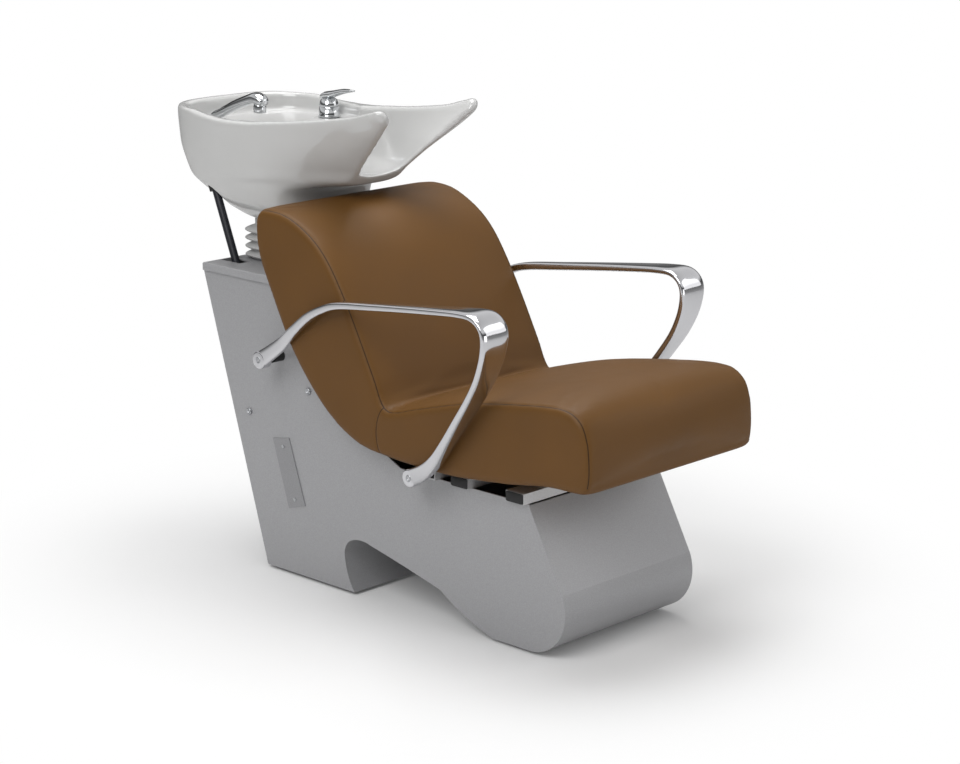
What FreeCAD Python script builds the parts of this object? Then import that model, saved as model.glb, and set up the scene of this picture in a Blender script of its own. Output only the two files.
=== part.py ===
"""Salon backwash unit: a padded chair on a folded sheet-steel base with a tilting ceramic basin.

Millimetres, +Z up. The sitter faces -Y, the basin stands at +Y and X runs across the chair.
The origin lies on the floor, at the middle of the anchor holes in the rear foot.
Side-view places are shares of the chair's length and height.
"""
import FreeCAD, Part
import math
import os

V = FreeCAD.Vector

# Overall side view
chair_length = 1232.0
chair_height = 955.0
overrun = 20.0
rest_gap = 0.3
running_fit = 0.05

# Base of folded sheet
base_width = 360.0
sheet = 3.0
glide_height = 6.0
glide_radius = 16.0
glide_inset = 24.0
floor_plate_thickness = 5.0
floor_plate_inset = 8.0
anchor_pitch_x = 240.0
anchor_pitch_y = 180.0
anchor_hole = 11.0
lid_thickness = 16.0
lid_overhang = 5.0
lid_hem = 8.0
lid_bevel = 3.0
hatch_proud = 2.0
hatch_screw_radius = 3.5
hatch_screw_head = 1.4
bolt_head_radius = 6.5
bolt_head_height = 5.0
bolt_shank_radius = 4.0

# Seat rails
rail_height = 20.0
rail_width = 44.0
rail_wall = 3.0
rail_reach = 12.0
seat_bolt_radius = 5.0
seat_bolt_spread = 110.0
riser_radius = 14.0

# Padded body
cushion_width = 464.0
cushion_crown = 8.0
cushion_tuck = 13.0
cushion_shoulder_power = 18
frame_plate = 8.0
frame_width = 300.0

# Arms
arm_boss_radius = 14.5
arm_boss_length = 15.0
arm_boss_tuck = 14.0
arm_spacer_least = 12.0
arm_boss_inner = max(cushion_width / 2 - arm_boss_tuck, base_width / 2 + rail_reach + arm_spacer_least)
arm_stand_off = 39.0
arm_swell = cushion_width / 2 + arm_stand_off
arm_screw_radius = 4.0
arm_screw_head_radius = 7.0
arm_screw_head_height = 8.0
arm_spacer_radius = 11.0

# Tilting basin
basin_width = 386.0
tilt_pin_radius = 6.0
tilt_pin_head_radius = 10.0
tilt_pin_head = 4.0
cheek_spacing = 116.0
cheek_thickness = 6.0
cheek_breadth = 46.0
ear_gap = 1.0
cradle_thickness = 6.0
cradle_width = 150.0
cradle_depth = 130.0
yoke_plate_width = 160.0
yoke_plate_depth = 110.0
drain_radius = 20.0
drain_wall = 3.0
drain_length = 235.0
spigot_radius = 19.0
spigot_length = 60.0
drain_clearance = 26.0
strainer_radius = 31.0
strainer_thickness = 4.0
strainer_hole_radius = 3.0
strainer_holes = 6
nut_radius = 29.0
nut_height = 14.0
cradle_hole_radius = 34.0

# Gaiter over the tilt bracket
gaiter_width = 210.0
gaiter_depth = 180.0
gaiter_corner = 36.0
gaiter_wall = 3.0
gaiter_fold = 12.0
gaiter_neck = 17.0
gaiter_pleats = 4

# Shower hose and its gland
hose_radius = 8.0
gland_radius = 13.0
gland_length = 16.0
gland_depth = 9.0
hose_x = -128.0
hose_tail = 70.0
slot_width = 30.0
slot_length = 58.0

# Hand shower and its bush
shower_x = -112.0
shower_radius = 11.0
bush_radius = 17.0
bush_height = 8.0
shower_shank = 32.0
shower_rise = 56.0
shower_reach = 147.0
shower_head_radius = 16.0
spray_radius = 12.0
spray_depth = 5.0

# Lever mixer
mixer_x = 128.0
mixer_radius = 21.0
mixer_height = 22.0
mixer_shank_radius = 15.0
mixer_shank = 24.0
cap_height = 22.0
cap_stem_radius = 8.0
cap_stem = 14.0
lever_slot = 12.0
lever_side_gap = 0.4
lever_pin_radius = 3.0
lever_length = 78.0
lever_tip_width = 17.0
lever_thickness = 7.0
lever_rise = 22.0

# Side-view outlines, each as (share of length, share of height)
cushion_shares = [(0.074, 0.746), (0.068, 0.775), (0.045, 0.786), (-0.013, 0.775), (-0.080, 0.723),
                  (-0.134, 0.629), (-0.193, 0.490), (-0.208, 0.448), (-0.226, 0.430), (-0.284, 0.450),
                  (-0.378, 0.482), (-0.469, 0.503), (-0.583, 0.520), (-0.617, 0.507), (-0.627, 0.466),
                  (-0.630, 0.419), (-0.629, 0.379), (-0.624, 0.364), (-0.607, 0.359), (-0.542, 0.356),
                  (-0.459, 0.340), (-0.337, 0.327), (-0.201, 0.333), (-0.140, 0.350), (-0.075, 0.402),
                  (-0.007, 0.501), (0.044, 0.619), (0.068, 0.686)]
cushion_station_shares = [-1.0, -0.985, -0.95, -0.88, -0.7, -0.4, 0, 0.4, 0.7, 0.88, 0.95, 0.985, 1.0]
gusset_shares = [(-0.217, 0.430), (-0.201, 0.333)]
frame_shares = [(-0.560, 0.425), (-0.215, 0.390), (-0.165, 0.410), (-0.130, 0.455), (0.030, 0.715)]
# Base outline: (L, end) is a straight edge and (A, middle, end) an arc
base_start_share = (0.105, 0.0)
base_shares = [("L", (0.249, 0.616)), ("L", (0.058, 0.616)),
               ("A", (0.018, 0.519), (-0.033, 0.435)), ("A", (-0.084, 0.375), (-0.162, 0.327)),
               ("L", (-0.209, 0.298)), ("L", (-0.476, 0.298)), ("L", (-0.544, 0.135)),
               ("A", (-0.539, 0.048), (-0.479, 0.0)), ("L", (-0.406, 0.0)),
               ("A", (-0.357, 0.027), (-0.294, 0.071)), ("A", (-0.206, 0.099), (-0.139, 0.118)),
               ("A", (-0.119, 0.122), (-0.100, 0.118)), ("A", (-0.086, 0.106), (-0.080, 0.084)),
               ("A", (-0.087, 0.042), (-0.102, 0.0)), ("L", (0.105, 0.0))]
lid_front_share = 0.064
lid_rear_share = 0.247
hatch_shares = [(0.085, 0.288), (0.046, 0.297), (0.010, 0.160), (0.049, 0.145)]
hatch_screw_shares = [(0.060, 0.276), (0.034, 0.168)]
side_bolt_shares = [(0.142, 0.332), (-0.002, 0.408)]
rail_shares = [-0.276, -0.345, -0.458]
# Arm centre line: share of length, share of height, share of the outward swell
arm_shares = [(0.062, 0.470, 0.16), (0.010, 0.514, 0.20), (-0.029, 0.552, 0.42), (-0.067, 0.588, 0.50),
              (-0.105, 0.612, 0.58), (-0.145, 0.628, 0.64), (-0.221, 0.641, 0.74), (-0.303, 0.654, 0.85),
              (-0.384, 0.666, 0.95), (-0.424, 0.671, 0.98), (-0.452, 0.671, 1.0), (-0.469, 0.660, 1.0),
              (-0.477, 0.641, 1.0), (-0.476, 0.614, 1.0), (-0.469, 0.583, 0.99), (-0.455, 0.546, 0.95),
              (-0.433, 0.505, 0.88), (-0.406, 0.460, 0.80), (-0.374, 0.409, 0.68), (-0.344, 0.365, 0.55),
              (-0.313, 0.332, 0.42), (-0.276, 0.309, 0.14)]
# Arm section along the same line: share of the boss length across, share of the boss radius through
arm_section_shares = [(0.90, 1.80), (0.90, 1.60), (1.00, 1.40), (1.20, 1.25), (1.40, 1.15), (1.67, 1.08),
                      (2.07, 1.02), (2.60, 1.00), (3.47, 0.97), (4.00, 0.97), (4.40, 0.97), (4.45, 0.97),
                      (4.45, 0.97), (4.27, 0.97), (4.00, 1.00), (3.60, 1.05), (3.20, 1.10), (2.80, 1.19),
                      (2.20, 1.32), (1.60, 1.48), (1.15, 1.65), (0.90, 1.80)]
# Basin sections: height, front, rear, half width, and how far the width draws in from the waist to the front
basin_outer_shares = [(0.722, 0.099, 0.230, 0.515, 0.0), (0.732, 0.098, 0.248, 0.580, 0.0),
                      (0.745, 0.097, 0.268, 0.645, 0.0), (0.765, 0.096, 0.296, 0.720, 0.02),
                      (0.785, 0.094, 0.322, 0.770, 0.05), (0.798, 0.084, 0.340, 0.795, 0.12),
                      (0.806, 0.052, 0.350, 0.815, 0.30), (0.811, 0.010, 0.355, 0.825, 0.50),
                      (0.822, -0.065, 0.361, 0.845, 0.72), (0.845, -0.125, 0.367, 0.880, 0.88),
                      (0.870, -0.155, 0.370, 0.910, 0.80), (0.920, -0.210, 0.372, 0.950, 0.66),
                      (0.975, -0.260, 0.3725, 0.985, 0.49), (1.030, -0.285, 0.373, 1.0, 0.36)]
basin_bowl_shares = [(0.770, 0.118, 0.188, 0.280, 0.20), (0.776, 0.112, 0.190, 0.400, 0.30),
                     (0.790, 0.104, 0.192, 0.530, 0.45), (0.805, 0.092, 0.194, 0.630, 0.60),
                     (0.819, 0.066, 0.195, 0.690, 0.70), (0.828, 0.020, 0.196, 0.725, 0.76),
                     (0.842, -0.070, 0.197, 0.765, 0.80), (0.871, -0.150, 0.198, 0.815, 0.88),
                     (0.898, -0.190, 0.199, 0.840, 0.83), (0.977, -0.262, 0.203, 0.905, 0.57),
                     (1.040, -0.290, 0.206, 0.930, 0.45)]
basin_deck_shares = [(0.911, 0.110, 0.352, 0.800, 0.0), (1.040, 0.110, 0.354, 0.840, 0.0)]
basin_waist_share = 0.150
basin_squareness = 3.2
# Squareness of the outer sections ahead of and behind their middle
basin_front_powers = [5.0, 5.0, 5.0, 5.0, 5.0, 5.0, 4.4, 3.8, 3.2, 3.2, 3.2, 3.2, 3.2, 3.2]
basin_rear_powers = [3.2, 3.2, 3.25, 3.3, 3.4, 3.5, 3.55, 3.6, 3.7, 3.85, 4.0, 4.0, 4.0, 4.0]
basin_points = 36
# Rim and slanted front opening in side view
rim_start_share = (0.420, 0.955)
rim_shares = [("L", (0.278, 0.950)), ("A", (0.190, 0.940), (0.099, 0.946)),
              ("A", (0.018, 0.957), (-0.063, 0.972)), ("A", (-0.092, 0.980), (-0.116, 0.985)),
              ("A", (-0.131, 0.981), (-0.129, 0.967)), ("L", (0.050, 0.759)),
              ("L", (0.050, 0.640)), ("L", (0.420, 0.640)), ("L", (0.420, 0.955))]
pivot_share = (0.164, 0.681)
drain_share = 0.156
gaiter_middle_share = 0.164
hose_top_share = (0.268, 0.792)
hose_lid_share = 0.218
deck_share = 0.911
shower_share = 0.284
# Hand shower's centre line: share of its reach, share of its rise
handle_shares = [(0.0, 0.0), (0.08, 0.30), (0.30, 0.53), (0.62, 0.81), (1.0, 1.0)]
handle_start_share, handle_end_share = 0.94, 0.9
mixer_share = 0.214
lever_pin_share = 0.8
cap_floor_share = 0.25
arm_section_points = 8
arch_top_share = 0.25
foot_lap_share = 0.25


def side(point):
    """Side-view place (y, z) of a point given as shares of the length and height."""
    return chair_length * point[0], chair_height * point[1]


def base_side(point):
    """Side-view place on the base, whose lowest edge stands on the glides."""
    y, z = side(point)
    return y, max(z, glide_height)


def box(x0, x1, y0, y1, z0, z1):
    """Upright block between two corners."""
    return Part.makeBox(x1 - x0, y1 - y0, z1 - z0, V(x0, y0, z0))


def rod_x(radius, x0, x1, y, z):
    """Cylinder along X between two stations."""
    return Part.makeCylinder(radius, x1 - x0, V(x0, y, z), V(1, 0, 0))


def rod_z(radius, x, y, z0, z1):
    """Upright cylinder between two heights."""
    return Part.makeCylinder(radius, z1 - z0, V(x, y, z0), V(0, 0, 1))


def side_wire(start, steps, place):
    """Closed side-view wire in the plane x = 0 from straight and arc steps."""
    def at(point):
        y, z = place(point)
        return V(0, y, z)
    edges = []
    last = at(start)
    for step in steps:
        end = at(step[-1])
        if step[0] == "L":
            edges.append(Part.LineSegment(last, end).toShape())
        else:
            edges.append(Part.Arc(last, at(step[1]), end).toShape())
        last = end
    return Part.Wire(edges)


def across(wire, x0, x1):
    """Solid made by drawing a side-view face across the chair from x0 to x1."""
    face = Part.Face(wire)
    face.translate(V(x0, 0, 0))
    return face.extrude(V(x1 - x0, 0, 0))


def polygon(points, x0, x1):
    """Solid made by drawing a side-view polygon across the chair."""
    corners = [V(0, y, z) for y, z in points]
    return across(Part.makePolygon(corners + corners[:1]), x0, x1)


def save(name, shape):
    """Write one piece to its own file."""
    shape.exportStep(os.path.join("parts", name + ".step"))


def mirror(shape):
    """The same piece on the other side of the chair."""
    return shape.mirror(V(0, 0, 0), V(1, 0, 0))


def cushion_section(x, swell):
    """Side-view ring of arcs at station x, moved outwards by swell along its normals."""
    ring = [side(point) for point in cushion_shares]
    count = len(ring)
    moved = []
    for i in range(count):
        before, after = ring[i - 1], ring[(i + 1) % count]
        dy, dz = after[0] - before[0], after[1] - before[1]
        size = math.hypot(dy, dz)
        moved.append(V(x, ring[i][0] + swell * dz / size * turn, ring[i][1] - swell * dy / size * turn))
    edges = []
    for i in range(0, count, 2):
        edges.append(Part.Arc(moved[i], moved[i + 1], moved[(i + 2) % count]).toShape())
    return Part.Wire(edges)


def oval(front, rear, half, taper, z, front_power, rear_power):
    """Flat rounded ring of a basin section: a superellipse that narrows from the waist to the front."""
    middle, reach = (front + rear) / 2, (rear - front) / 2
    waist = chair_length * basin_waist_share
    points = []
    for i in range(basin_points):
        angle = 2 * math.pi * i / basin_points
        c, s = math.cos(angle), math.sin(angle)
        power = front_power if c < 0 else rear_power
        y = middle + reach * math.copysign(abs(c) ** (2 / power), c)
        narrow = 1 - taper * max(waist - y, 0) / (waist - front)
        points.append(V(half * narrow * math.copysign(abs(s) ** (2 / power), s), y, z))
    curve = Part.BSplineCurve()
    curve.interpolate(points, PeriodicFlag=True)
    return Part.Wire([curve.toShape()])


def basin_loft(shares, front_powers=None, rear_powers=None):
    """Solid through the basin sections of one table."""
    plain = [basin_squareness] * len(shares)
    rings = []
    for (level, front, rear, half, taper), ahead, behind in zip(shares, front_powers or plain, rear_powers or plain):
        rings.append(oval(chair_length * front, chair_length * rear, basin_width / 2 * half, taper,
                          chair_height * level, ahead, behind))
    return Part.makeLoft(rings, True, True)


def rounded_ring(half_x, half_y, corner, middle_y, z):
    """Flat ring of four straight edges and four corner arcs."""
    bend = corner * (1 - math.sqrt(0.5))
    edges = []
    signs = [(1, 1), (-1, 1), (-1, -1), (1, -1)]
    ends = []
    for sx, sy in signs:
        along_x = V(sx * (half_x - corner), middle_y + sy * half_y, z)
        along_y = V(sx * half_x, middle_y + sy * (half_y - corner), z)
        bent = V(sx * (half_x - bend), middle_y + sy * (half_y - bend), z)
        ends.append((along_y, bent, along_x) if sx * sy > 0 else (along_x, bent, along_y))
    for i in range(len(ends)):
        first, bent, second = ends[i]
        edges.append(Part.Arc(first, bent, second).toShape())
        edges.append(Part.LineSegment(second, ends[(i + 1) % len(ends)][0]).toShape())
    return Part.Wire(edges)


def arm_section(centre, along, half_across, half_through):
    """Oval section of an arm, square to its centre line."""
    across_dir = V(1, 0, 0)
    through = along.cross(across_dir)
    through.normalize()
    points = []
    for i in range(arm_section_points):
        angle = 2 * math.pi * i / arm_section_points
        points.append(centre + across_dir * (half_across * math.cos(angle))
                      + through * (half_through * math.sin(angle)))
    curve = Part.BSplineCurve()
    curve.interpolate(points, PeriodicFlag=True)
    return Part.Wire([curve.toShape()])


os.makedirs("parts", exist_ok=True)
half_base = base_width / 2
inner_base = half_base - sheet
lid_low = side(base_shares[0][1])[1]
lid_top = lid_low + lid_thickness
lid_front = chair_length * lid_front_share
lid_rear = chair_length * lid_rear_share
pivot_y, pivot_z = side(pivot_share)
drain_y = chair_length * drain_share

# Base walls: one folded ring inside the side panels, parted into rear, arch and front sheets
outline = side_wire(base_start_share, base_shares, base_side)
panel = across(outline, -half_base, -inner_base)
whole = across(outline, -inner_base, inner_base)
hollow_face = Part.Face(outline).makeOffset2D(-sheet)
hollow_face.translate(V(-inner_base - overrun, 0, 0))
hollow = hollow_face.extrude(V(base_width + overrun, 0, 0))
ring = whole.cut(hollow)
toe_y = side(base_shares[8][1])[0]
front_top_y = side(base_shares[5][1])[0]
rail_low = side(base_shares[5][1])[1]
heel_front = side(base_shares[-2][2])[0]
foot_depth = side(base_start_share)[0] - heel_front
far = chair_length
front_zone = box(-half_base, half_base, -far, toe_y, -overrun, rail_low - sheet)
front_panel = ring.common(front_zone)
arch_top = lid_low * arch_top_share
arch_rear = heel_front + foot_depth * foot_lap_share
arch_panel = ring.common(box(-half_base, half_base, toe_y, arch_rear, -overrun, arch_top))
foot_zone = box(-half_base, half_base, heel_front + sheet, far, -overrun, glide_height + sheet)
arch_panel = arch_panel.cut(foot_zone)
rear_zone = polygon([(foot_depth * foot_lap_share, glide_height + sheet), (far, glide_height + sheet),
                     (far, lid_low - sheet), (lid_rear - foot_depth * foot_lap_share, lid_low - sheet)],
                    -half_base, half_base)
rear_panel = ring.common(rear_zone)
save("front_panel", front_panel)

# Floor plate with anchor holes, standing on the rear glides
plate_low = glide_height
plate_front = heel_front + floor_plate_inset
plate_rear = heel_front + foot_depth - floor_plate_inset
floor_plate = box(-inner_base, inner_base, plate_front, plate_rear, plate_low,
                  plate_low + floor_plate_thickness)
for sx in (-1, 1):
    for sy in (-1, 1):
        hole = rod_z(anchor_hole / 2, sx * anchor_pitch_x / 2, sy * anchor_pitch_y / 2,
                     -overrun, plate_low + floor_plate_thickness + overrun)
        floor_plate = floor_plate.cut(hole)
arch_panel = arch_panel.cut(floor_plate)
rear_panel = rear_panel.cut(floor_plate)
save("arch_panel", arch_panel)
save("rear_panel", rear_panel)
save("floor_plate", floor_plate)

# Rubber glides under the rear foot and the toe
toe_middle = (side(base_shares[7][2])[0] + toe_y) / 2
glide_places = []
for sx in (-1, 1):
    glide_places.append((sx * (inner_base - glide_inset), plate_front + glide_inset))
    glide_places.append((sx * (inner_base - glide_inset), plate_rear - glide_inset))
    glide_places.append((sx * (inner_base - glide_inset), toe_middle))
glides = [rod_z(glide_radius, x, y, 0, glide_height) for x, y in glide_places]
save("glides", Part.makeCompound(glides))

# Seat rails lie across the top edges of the side panels
rails = []
rail_half = half_base + rail_reach
for index, share in enumerate(rail_shares):
    y = chair_length * share
    tube = box(-rail_half, rail_half, y - rail_width / 2, y + rail_width / 2,
               rail_low, rail_low + rail_height)
    bore = box(-rail_half - overrun, rail_half + overrun, y - rail_width / 2 + rail_wall,
               y + rail_width / 2 - rail_wall, rail_low + rail_wall, rail_low + rail_height - rail_wall)
    rails.append((y, tube.cut(bore)))

# Padded body: one loft across the chair, parted at the gusset seam into seat and back
corners = [side(point) for point in cushion_shares]
area = sum(corners[i - 1][0] * corners[i][1] - corners[i][0] * corners[i - 1][1] for i in range(len(corners)))
turn = math.copysign(1, area)
half_cushion = cushion_width / 2
sections = []
for share in cushion_station_shares:
    swell = cushion_crown * (1 - share ** 2) - cushion_tuck * abs(share) ** cushion_shoulder_power
    sections.append(cushion_section(half_cushion * share, swell))
padded = Part.makeLoft(sections, True, False)
crease, under = side(gusset_shares[0]), side(gusset_shares[1])
lean = (crease[0] - under[0]) / (crease[1] - under[1])
seam_high = crease[0] + lean * (chair_height - crease[1])
seam_low = under[0] - lean * under[1]
back_zone = polygon([(seam_low, 0), (seam_high, chair_height), (far, chair_height), (far, 0)],
                    -half_cushion - overrun, half_cushion + overrun)
seat_cushion = padded.cut(back_zone)
back_cushion = padded.common(back_zone)

# Bent steel plate inside the padding, which carries the seat and the back
low, heel, bend, rise, high = [side(point) for point in frame_shares]


def plate_wire(shift):
    """Points of the bent plate's centre line moved square to it by shift."""
    dy, dz = heel[0] - low[0], heel[1] - low[1]
    size = math.hypot(dy, dz)
    flat = (-dz / size * shift, dy / size * shift)
    ey, ez = high[0] - rise[0], high[1] - rise[1]
    slope = math.hypot(ey, ez)
    steep = (-ez / slope * shift, ey / slope * shift)
    half = ((flat[0] + steep[0]) / 2, (flat[1] + steep[1]) / 2)
    return [(low[0] + flat[0], low[1] + flat[1]), (heel[0] + flat[0], heel[1] + flat[1]),
            (bend[0] + half[0], bend[1] + half[1]), (rise[0] + steep[0], rise[1] + steep[1]),
            (high[0] + steep[0], high[1] + steep[1])]


seat_frame = polygon(plate_wire(-frame_plate / 2) + plate_wire(frame_plate / 2)[::-1],
                     -frame_width / 2, frame_width / 2)
seat_cushion = seat_cushion.cut(seat_frame)
back_cushion = back_cushion.cut(seat_frame)

# Bolts run up through the seat rails and the padding into the bent plate
bolts = []
for y, tube in rails[1:]:
    share = (y - low[0]) / (heel[0] - low[0])
    plate_z = low[1] + share * (heel[1] - low[1]) - frame_plate
    for sx in (-1, 1):
        bolts.append(rod_z(seat_bolt_radius, sx * seat_bolt_spread, y, rail_low - bolt_head_height, plate_z))
seat_bolts = Part.makeCompound(bolts)
# Risers lift the front of the seat off its rail, and the padding is pressed flat over the other rails
front_y = rails[-1][0]
risers = []
for sx in (-1, 1):
    riser = rod_z(riser_radius, sx * seat_bolt_spread, front_y,
                  rail_low + rail_height, (rail_low + low[1]) / 2)
    riser = riser.cut(rod_z(seat_bolt_radius, sx * seat_bolt_spread, front_y, rail_low, low[1]))
    risers.append(riser.cut(seat_cushion))
save("seat_risers", Part.makeCompound(risers))
for y, tube in rails[:-1]:
    reach_x, reach_y = rail_half + rest_gap, rail_width / 2 + rest_gap
    channel = box(-reach_x, reach_x, y - reach_y, y + reach_y, 0, rail_low + rail_height + rest_gap)
    seat_cushion = seat_cushion.cut(channel)
seat_cushion = seat_cushion.cut(seat_bolts)
names = ["arm_rail", "rear_seat_rail", "front_seat_rail"]
for name, (y, tube) in zip(names, rails):
    tube = tube.cut(seat_bolts)
    save(name, tube)
heads = []
for bolt in bolts:
    foot = bolt.BoundBox
    head = rod_z(bolt_head_radius + seat_bolt_radius / 2, foot.Center.x, foot.Center.y,
                 rail_low - bolt_head_height, rail_low)
    heads.append(bolt.fuse(head).removeSplitter())
save("seat_bolts", Part.makeCompound(heads))
save("seat_frame", seat_frame)
save("seat_cushion", seat_cushion)
save("back_cushion", back_cushion)

# Side panels with the holes of their fasteners
arm_rear = side(arm_shares[0][:2])
arm_front = (rails[0][0], rail_low + rail_height / 2)
side_bolts = []
for point in side_bolt_shares:
    y, z = side(point)
    shank = rod_x(bolt_shank_radius, -half_base - overrun, -inner_base + overrun, y, z)
    panel = panel.cut(shank)
    head = rod_x(bolt_head_radius, -half_base - bolt_head_height, -half_base, y, z)
    side_bolts.append(head.fuse(rod_x(bolt_shank_radius, -half_base, -inner_base + sheet, y, z)))
panel = panel.cut(rod_x(arm_screw_radius, -half_base - overrun, -inner_base + overrun, *arm_rear))
hatch_outline = [side(point) for point in hatch_shares]
left_panel = mirror(panel)
hatch = polygon(hatch_outline, -half_base - hatch_proud, -half_base)
hatch_screws = []
for point in hatch_screw_shares:
    y, z = side(point)
    shank = rod_x(hatch_screw_radius / 2, -half_base - overrun, -inner_base, y, z)
    hatch = hatch.cut(shank)
    panel = panel.cut(shank)
    outer_face = half_base + hatch_proud
    head = rod_x(hatch_screw_radius, -outer_face - hatch_screw_head, -outer_face, y, z)
    hatch_screws.append(head.fuse(rod_x(hatch_screw_radius / 2, -outer_face, -inner_base, y, z)))
save("side_panel_right", panel)
save("side_panel_left", left_panel)
save("access_hatch", hatch)
save("hatch_screws", Part.makeCompound(hatch_screws))
save("side_bolts", Part.makeCompound(side_bolts + [mirror(bolt) for bolt in side_bolts]))

# Arms: cast bows swelling from a boss at each end
stations = []
for ys, zs, out in arm_shares:
    y, z = side((ys, zs))
    boss_middle = arm_boss_inner + arm_boss_length / 2
    stations.append(V(-boss_middle - out * (arm_swell - boss_middle), y, z))
stations[-1] = V(stations[-1].x, *arm_front)
rings = []
for i, centre in enumerate(stations):
    before = stations[max(i - 1, 0)]
    after = stations[min(i + 1, len(stations) - 1)]
    along = V(0, after.y - before.y, after.z - before.z)
    wide, thick = arm_section_shares[i]
    rings.append(arm_section(centre, along, arm_boss_length / 2 * wide, arm_boss_radius / 2 * thick))
bow = Part.makeLoft(rings, True, False)
boss_outer = arm_boss_inner + arm_boss_length
for y, z in (arm_rear, arm_front):
    bow = bow.fuse(rod_x(arm_boss_radius, -boss_outer, -arm_boss_inner, y, z))
screw_seat = boss_outer - arm_screw_head_height
for y, z in (arm_rear, arm_front):
    bow = bow.cut(rod_x(arm_screw_radius, -boss_outer - overrun, -arm_boss_inner + overrun, y, z))
    bow = bow.cut(rod_x(arm_screw_head_radius, -boss_outer - arm_swell, -screw_seat, y, z))
save("arm_right", bow)
save("arm_left", mirror(bow))
rear_spacer = rod_x(arm_spacer_radius, -arm_boss_inner, -half_base, *arm_rear)
plug_radius = rail_height / 2 - rail_wall - rest_gap
front_spacer = rod_x(plug_radius, -arm_boss_inner, -rail_half + overrun, *arm_front)
collar = rod_x(arm_spacer_radius, -arm_boss_inner, -rail_half, *arm_front)
spacers = [rear_spacer, front_spacer.fuse(collar)]
screws = []
drilled = []
for spacer, (y, z), stop in zip(spacers, (arm_rear, arm_front), (inner_base - sheet, rail_half - overrun)):
    screw = rod_x(arm_screw_radius, -screw_seat, -stop, y, z)
    head = rod_x(arm_screw_head_radius, -screw_seat - arm_screw_head_height / 2, -screw_seat, y, z)
    screws.append(head.fuse(screw))
    drilled.append(spacer.cut(rod_x(arm_screw_radius, -arm_boss_inner - overrun, -stop, y, z)))
save("arm_screws", Part.makeCompound(screws + [mirror(screw) for screw in screws]))
save("arm_spacers", Part.makeCompound(drilled + [mirror(spacer) for spacer in drilled]))

# Lid: a hemmed tray with the hose slot and the drain opening
lid_half = half_base + lid_overhang
lid = box(-lid_half, lid_half, lid_front, lid_rear, lid_low, lid_top)
top_edges = [edge for edge in lid.Edges if edge.BoundBox.ZMin > lid_top - rest_gap]
lid = lid.makeFillet(lid_bevel, top_edges)
lid = lid.cut(box(-lid_half + lid_hem, lid_half - lid_hem, lid_front + lid_hem, lid_rear - lid_hem,
                  lid_low - overrun, lid_top - sheet))
drain_opening = drain_radius + drain_clearance
lid = lid.cut(rod_z(drain_opening, 0, drain_y, lid_low - overrun, lid_top + overrun))
hose_lid_y = chair_length * hose_lid_share
lid = lid.cut(box(hose_x - slot_width / 2, hose_x + slot_width / 2, hose_lid_y - slot_length / 2,
                  hose_lid_y + slot_length / 2, lid_low - overrun, lid_top + overrun))
save("top_plate", lid)

# Tilt bracket on the lid: a foot plate and two cheeks with stub pins
yoke_y0 = pivot_y - yoke_plate_depth / 2
yoke = box(-yoke_plate_width / 2, yoke_plate_width / 2, yoke_y0, yoke_y0 + yoke_plate_depth,
           lid_top, lid_top + cradle_thickness)
yoke = yoke.cut(rod_z(drain_opening, 0, drain_y, lid_low, lid_top + overrun))
pins = []
ears = []
basin_low = chair_height * basin_outer_shares[0][0]
for sx in (-1, 1):
    inner, outer = sorted((sx * cheek_spacing / 2, sx * (cheek_spacing / 2 + cheek_thickness)))
    cheek = box(inner, outer, pivot_y - cheek_breadth / 2, pivot_y + cheek_breadth / 2, lid_top, pivot_z)
    cheek = cheek.fuse(rod_x(cheek_breadth / 2, inner, outer, pivot_y, pivot_z))
    yoke = yoke.fuse(cheek.cut(rod_x(tilt_pin_radius, inner - overrun, outer + overrun, pivot_y, pivot_z)))
    ear_out = cheek_spacing / 2 - ear_gap
    ear_in = ear_out - cheek_thickness
    e0, e1 = sorted((sx * ear_in, sx * ear_out))
    ear = box(e0, e1, pivot_y - cheek_breadth / 2, pivot_y + cheek_breadth / 2, pivot_z, basin_low)
    ear = ear.fuse(rod_x(cheek_breadth / 2, e0, e1, pivot_y, pivot_z))
    ears.append(ear.cut(rod_x(tilt_pin_radius + running_fit, e0 - overrun, e1 + overrun, pivot_y, pivot_z)))
    p0, p1 = sorted((sx * (ear_in - sheet), sx * (cheek_spacing / 2 + cheek_thickness)))
    pin = rod_x(tilt_pin_radius, p0, p1, pivot_y, pivot_z)
    h0, h1 = sorted((sx * (cheek_spacing / 2 + cheek_thickness),
                     sx * (cheek_spacing / 2 + cheek_thickness + tilt_pin_head)))
    pins.append(pin.fuse(rod_x(tilt_pin_head_radius, h0, h1, pivot_y, pivot_z)))
yoke = yoke.removeSplitter()
save("tilt_bracket", yoke)
save("tilt_pins", Part.makeCompound(pins))

# Cradle plate screwed under the basin, with one ear on each pin
cradle = box(-cradle_width / 2, cradle_width / 2, pivot_y - cradle_depth / 2, pivot_y + cradle_depth / 2,
             basin_low - cradle_thickness, basin_low)
for ear in ears:
    cradle = cradle.fuse(ear)
cradle = cradle.cut(rod_z(cradle_hole_radius, 0, drain_y, basin_low - cradle_thickness - overrun,
                          basin_low + overrun)).removeSplitter()
save("tilt_cradle", cradle)

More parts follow.
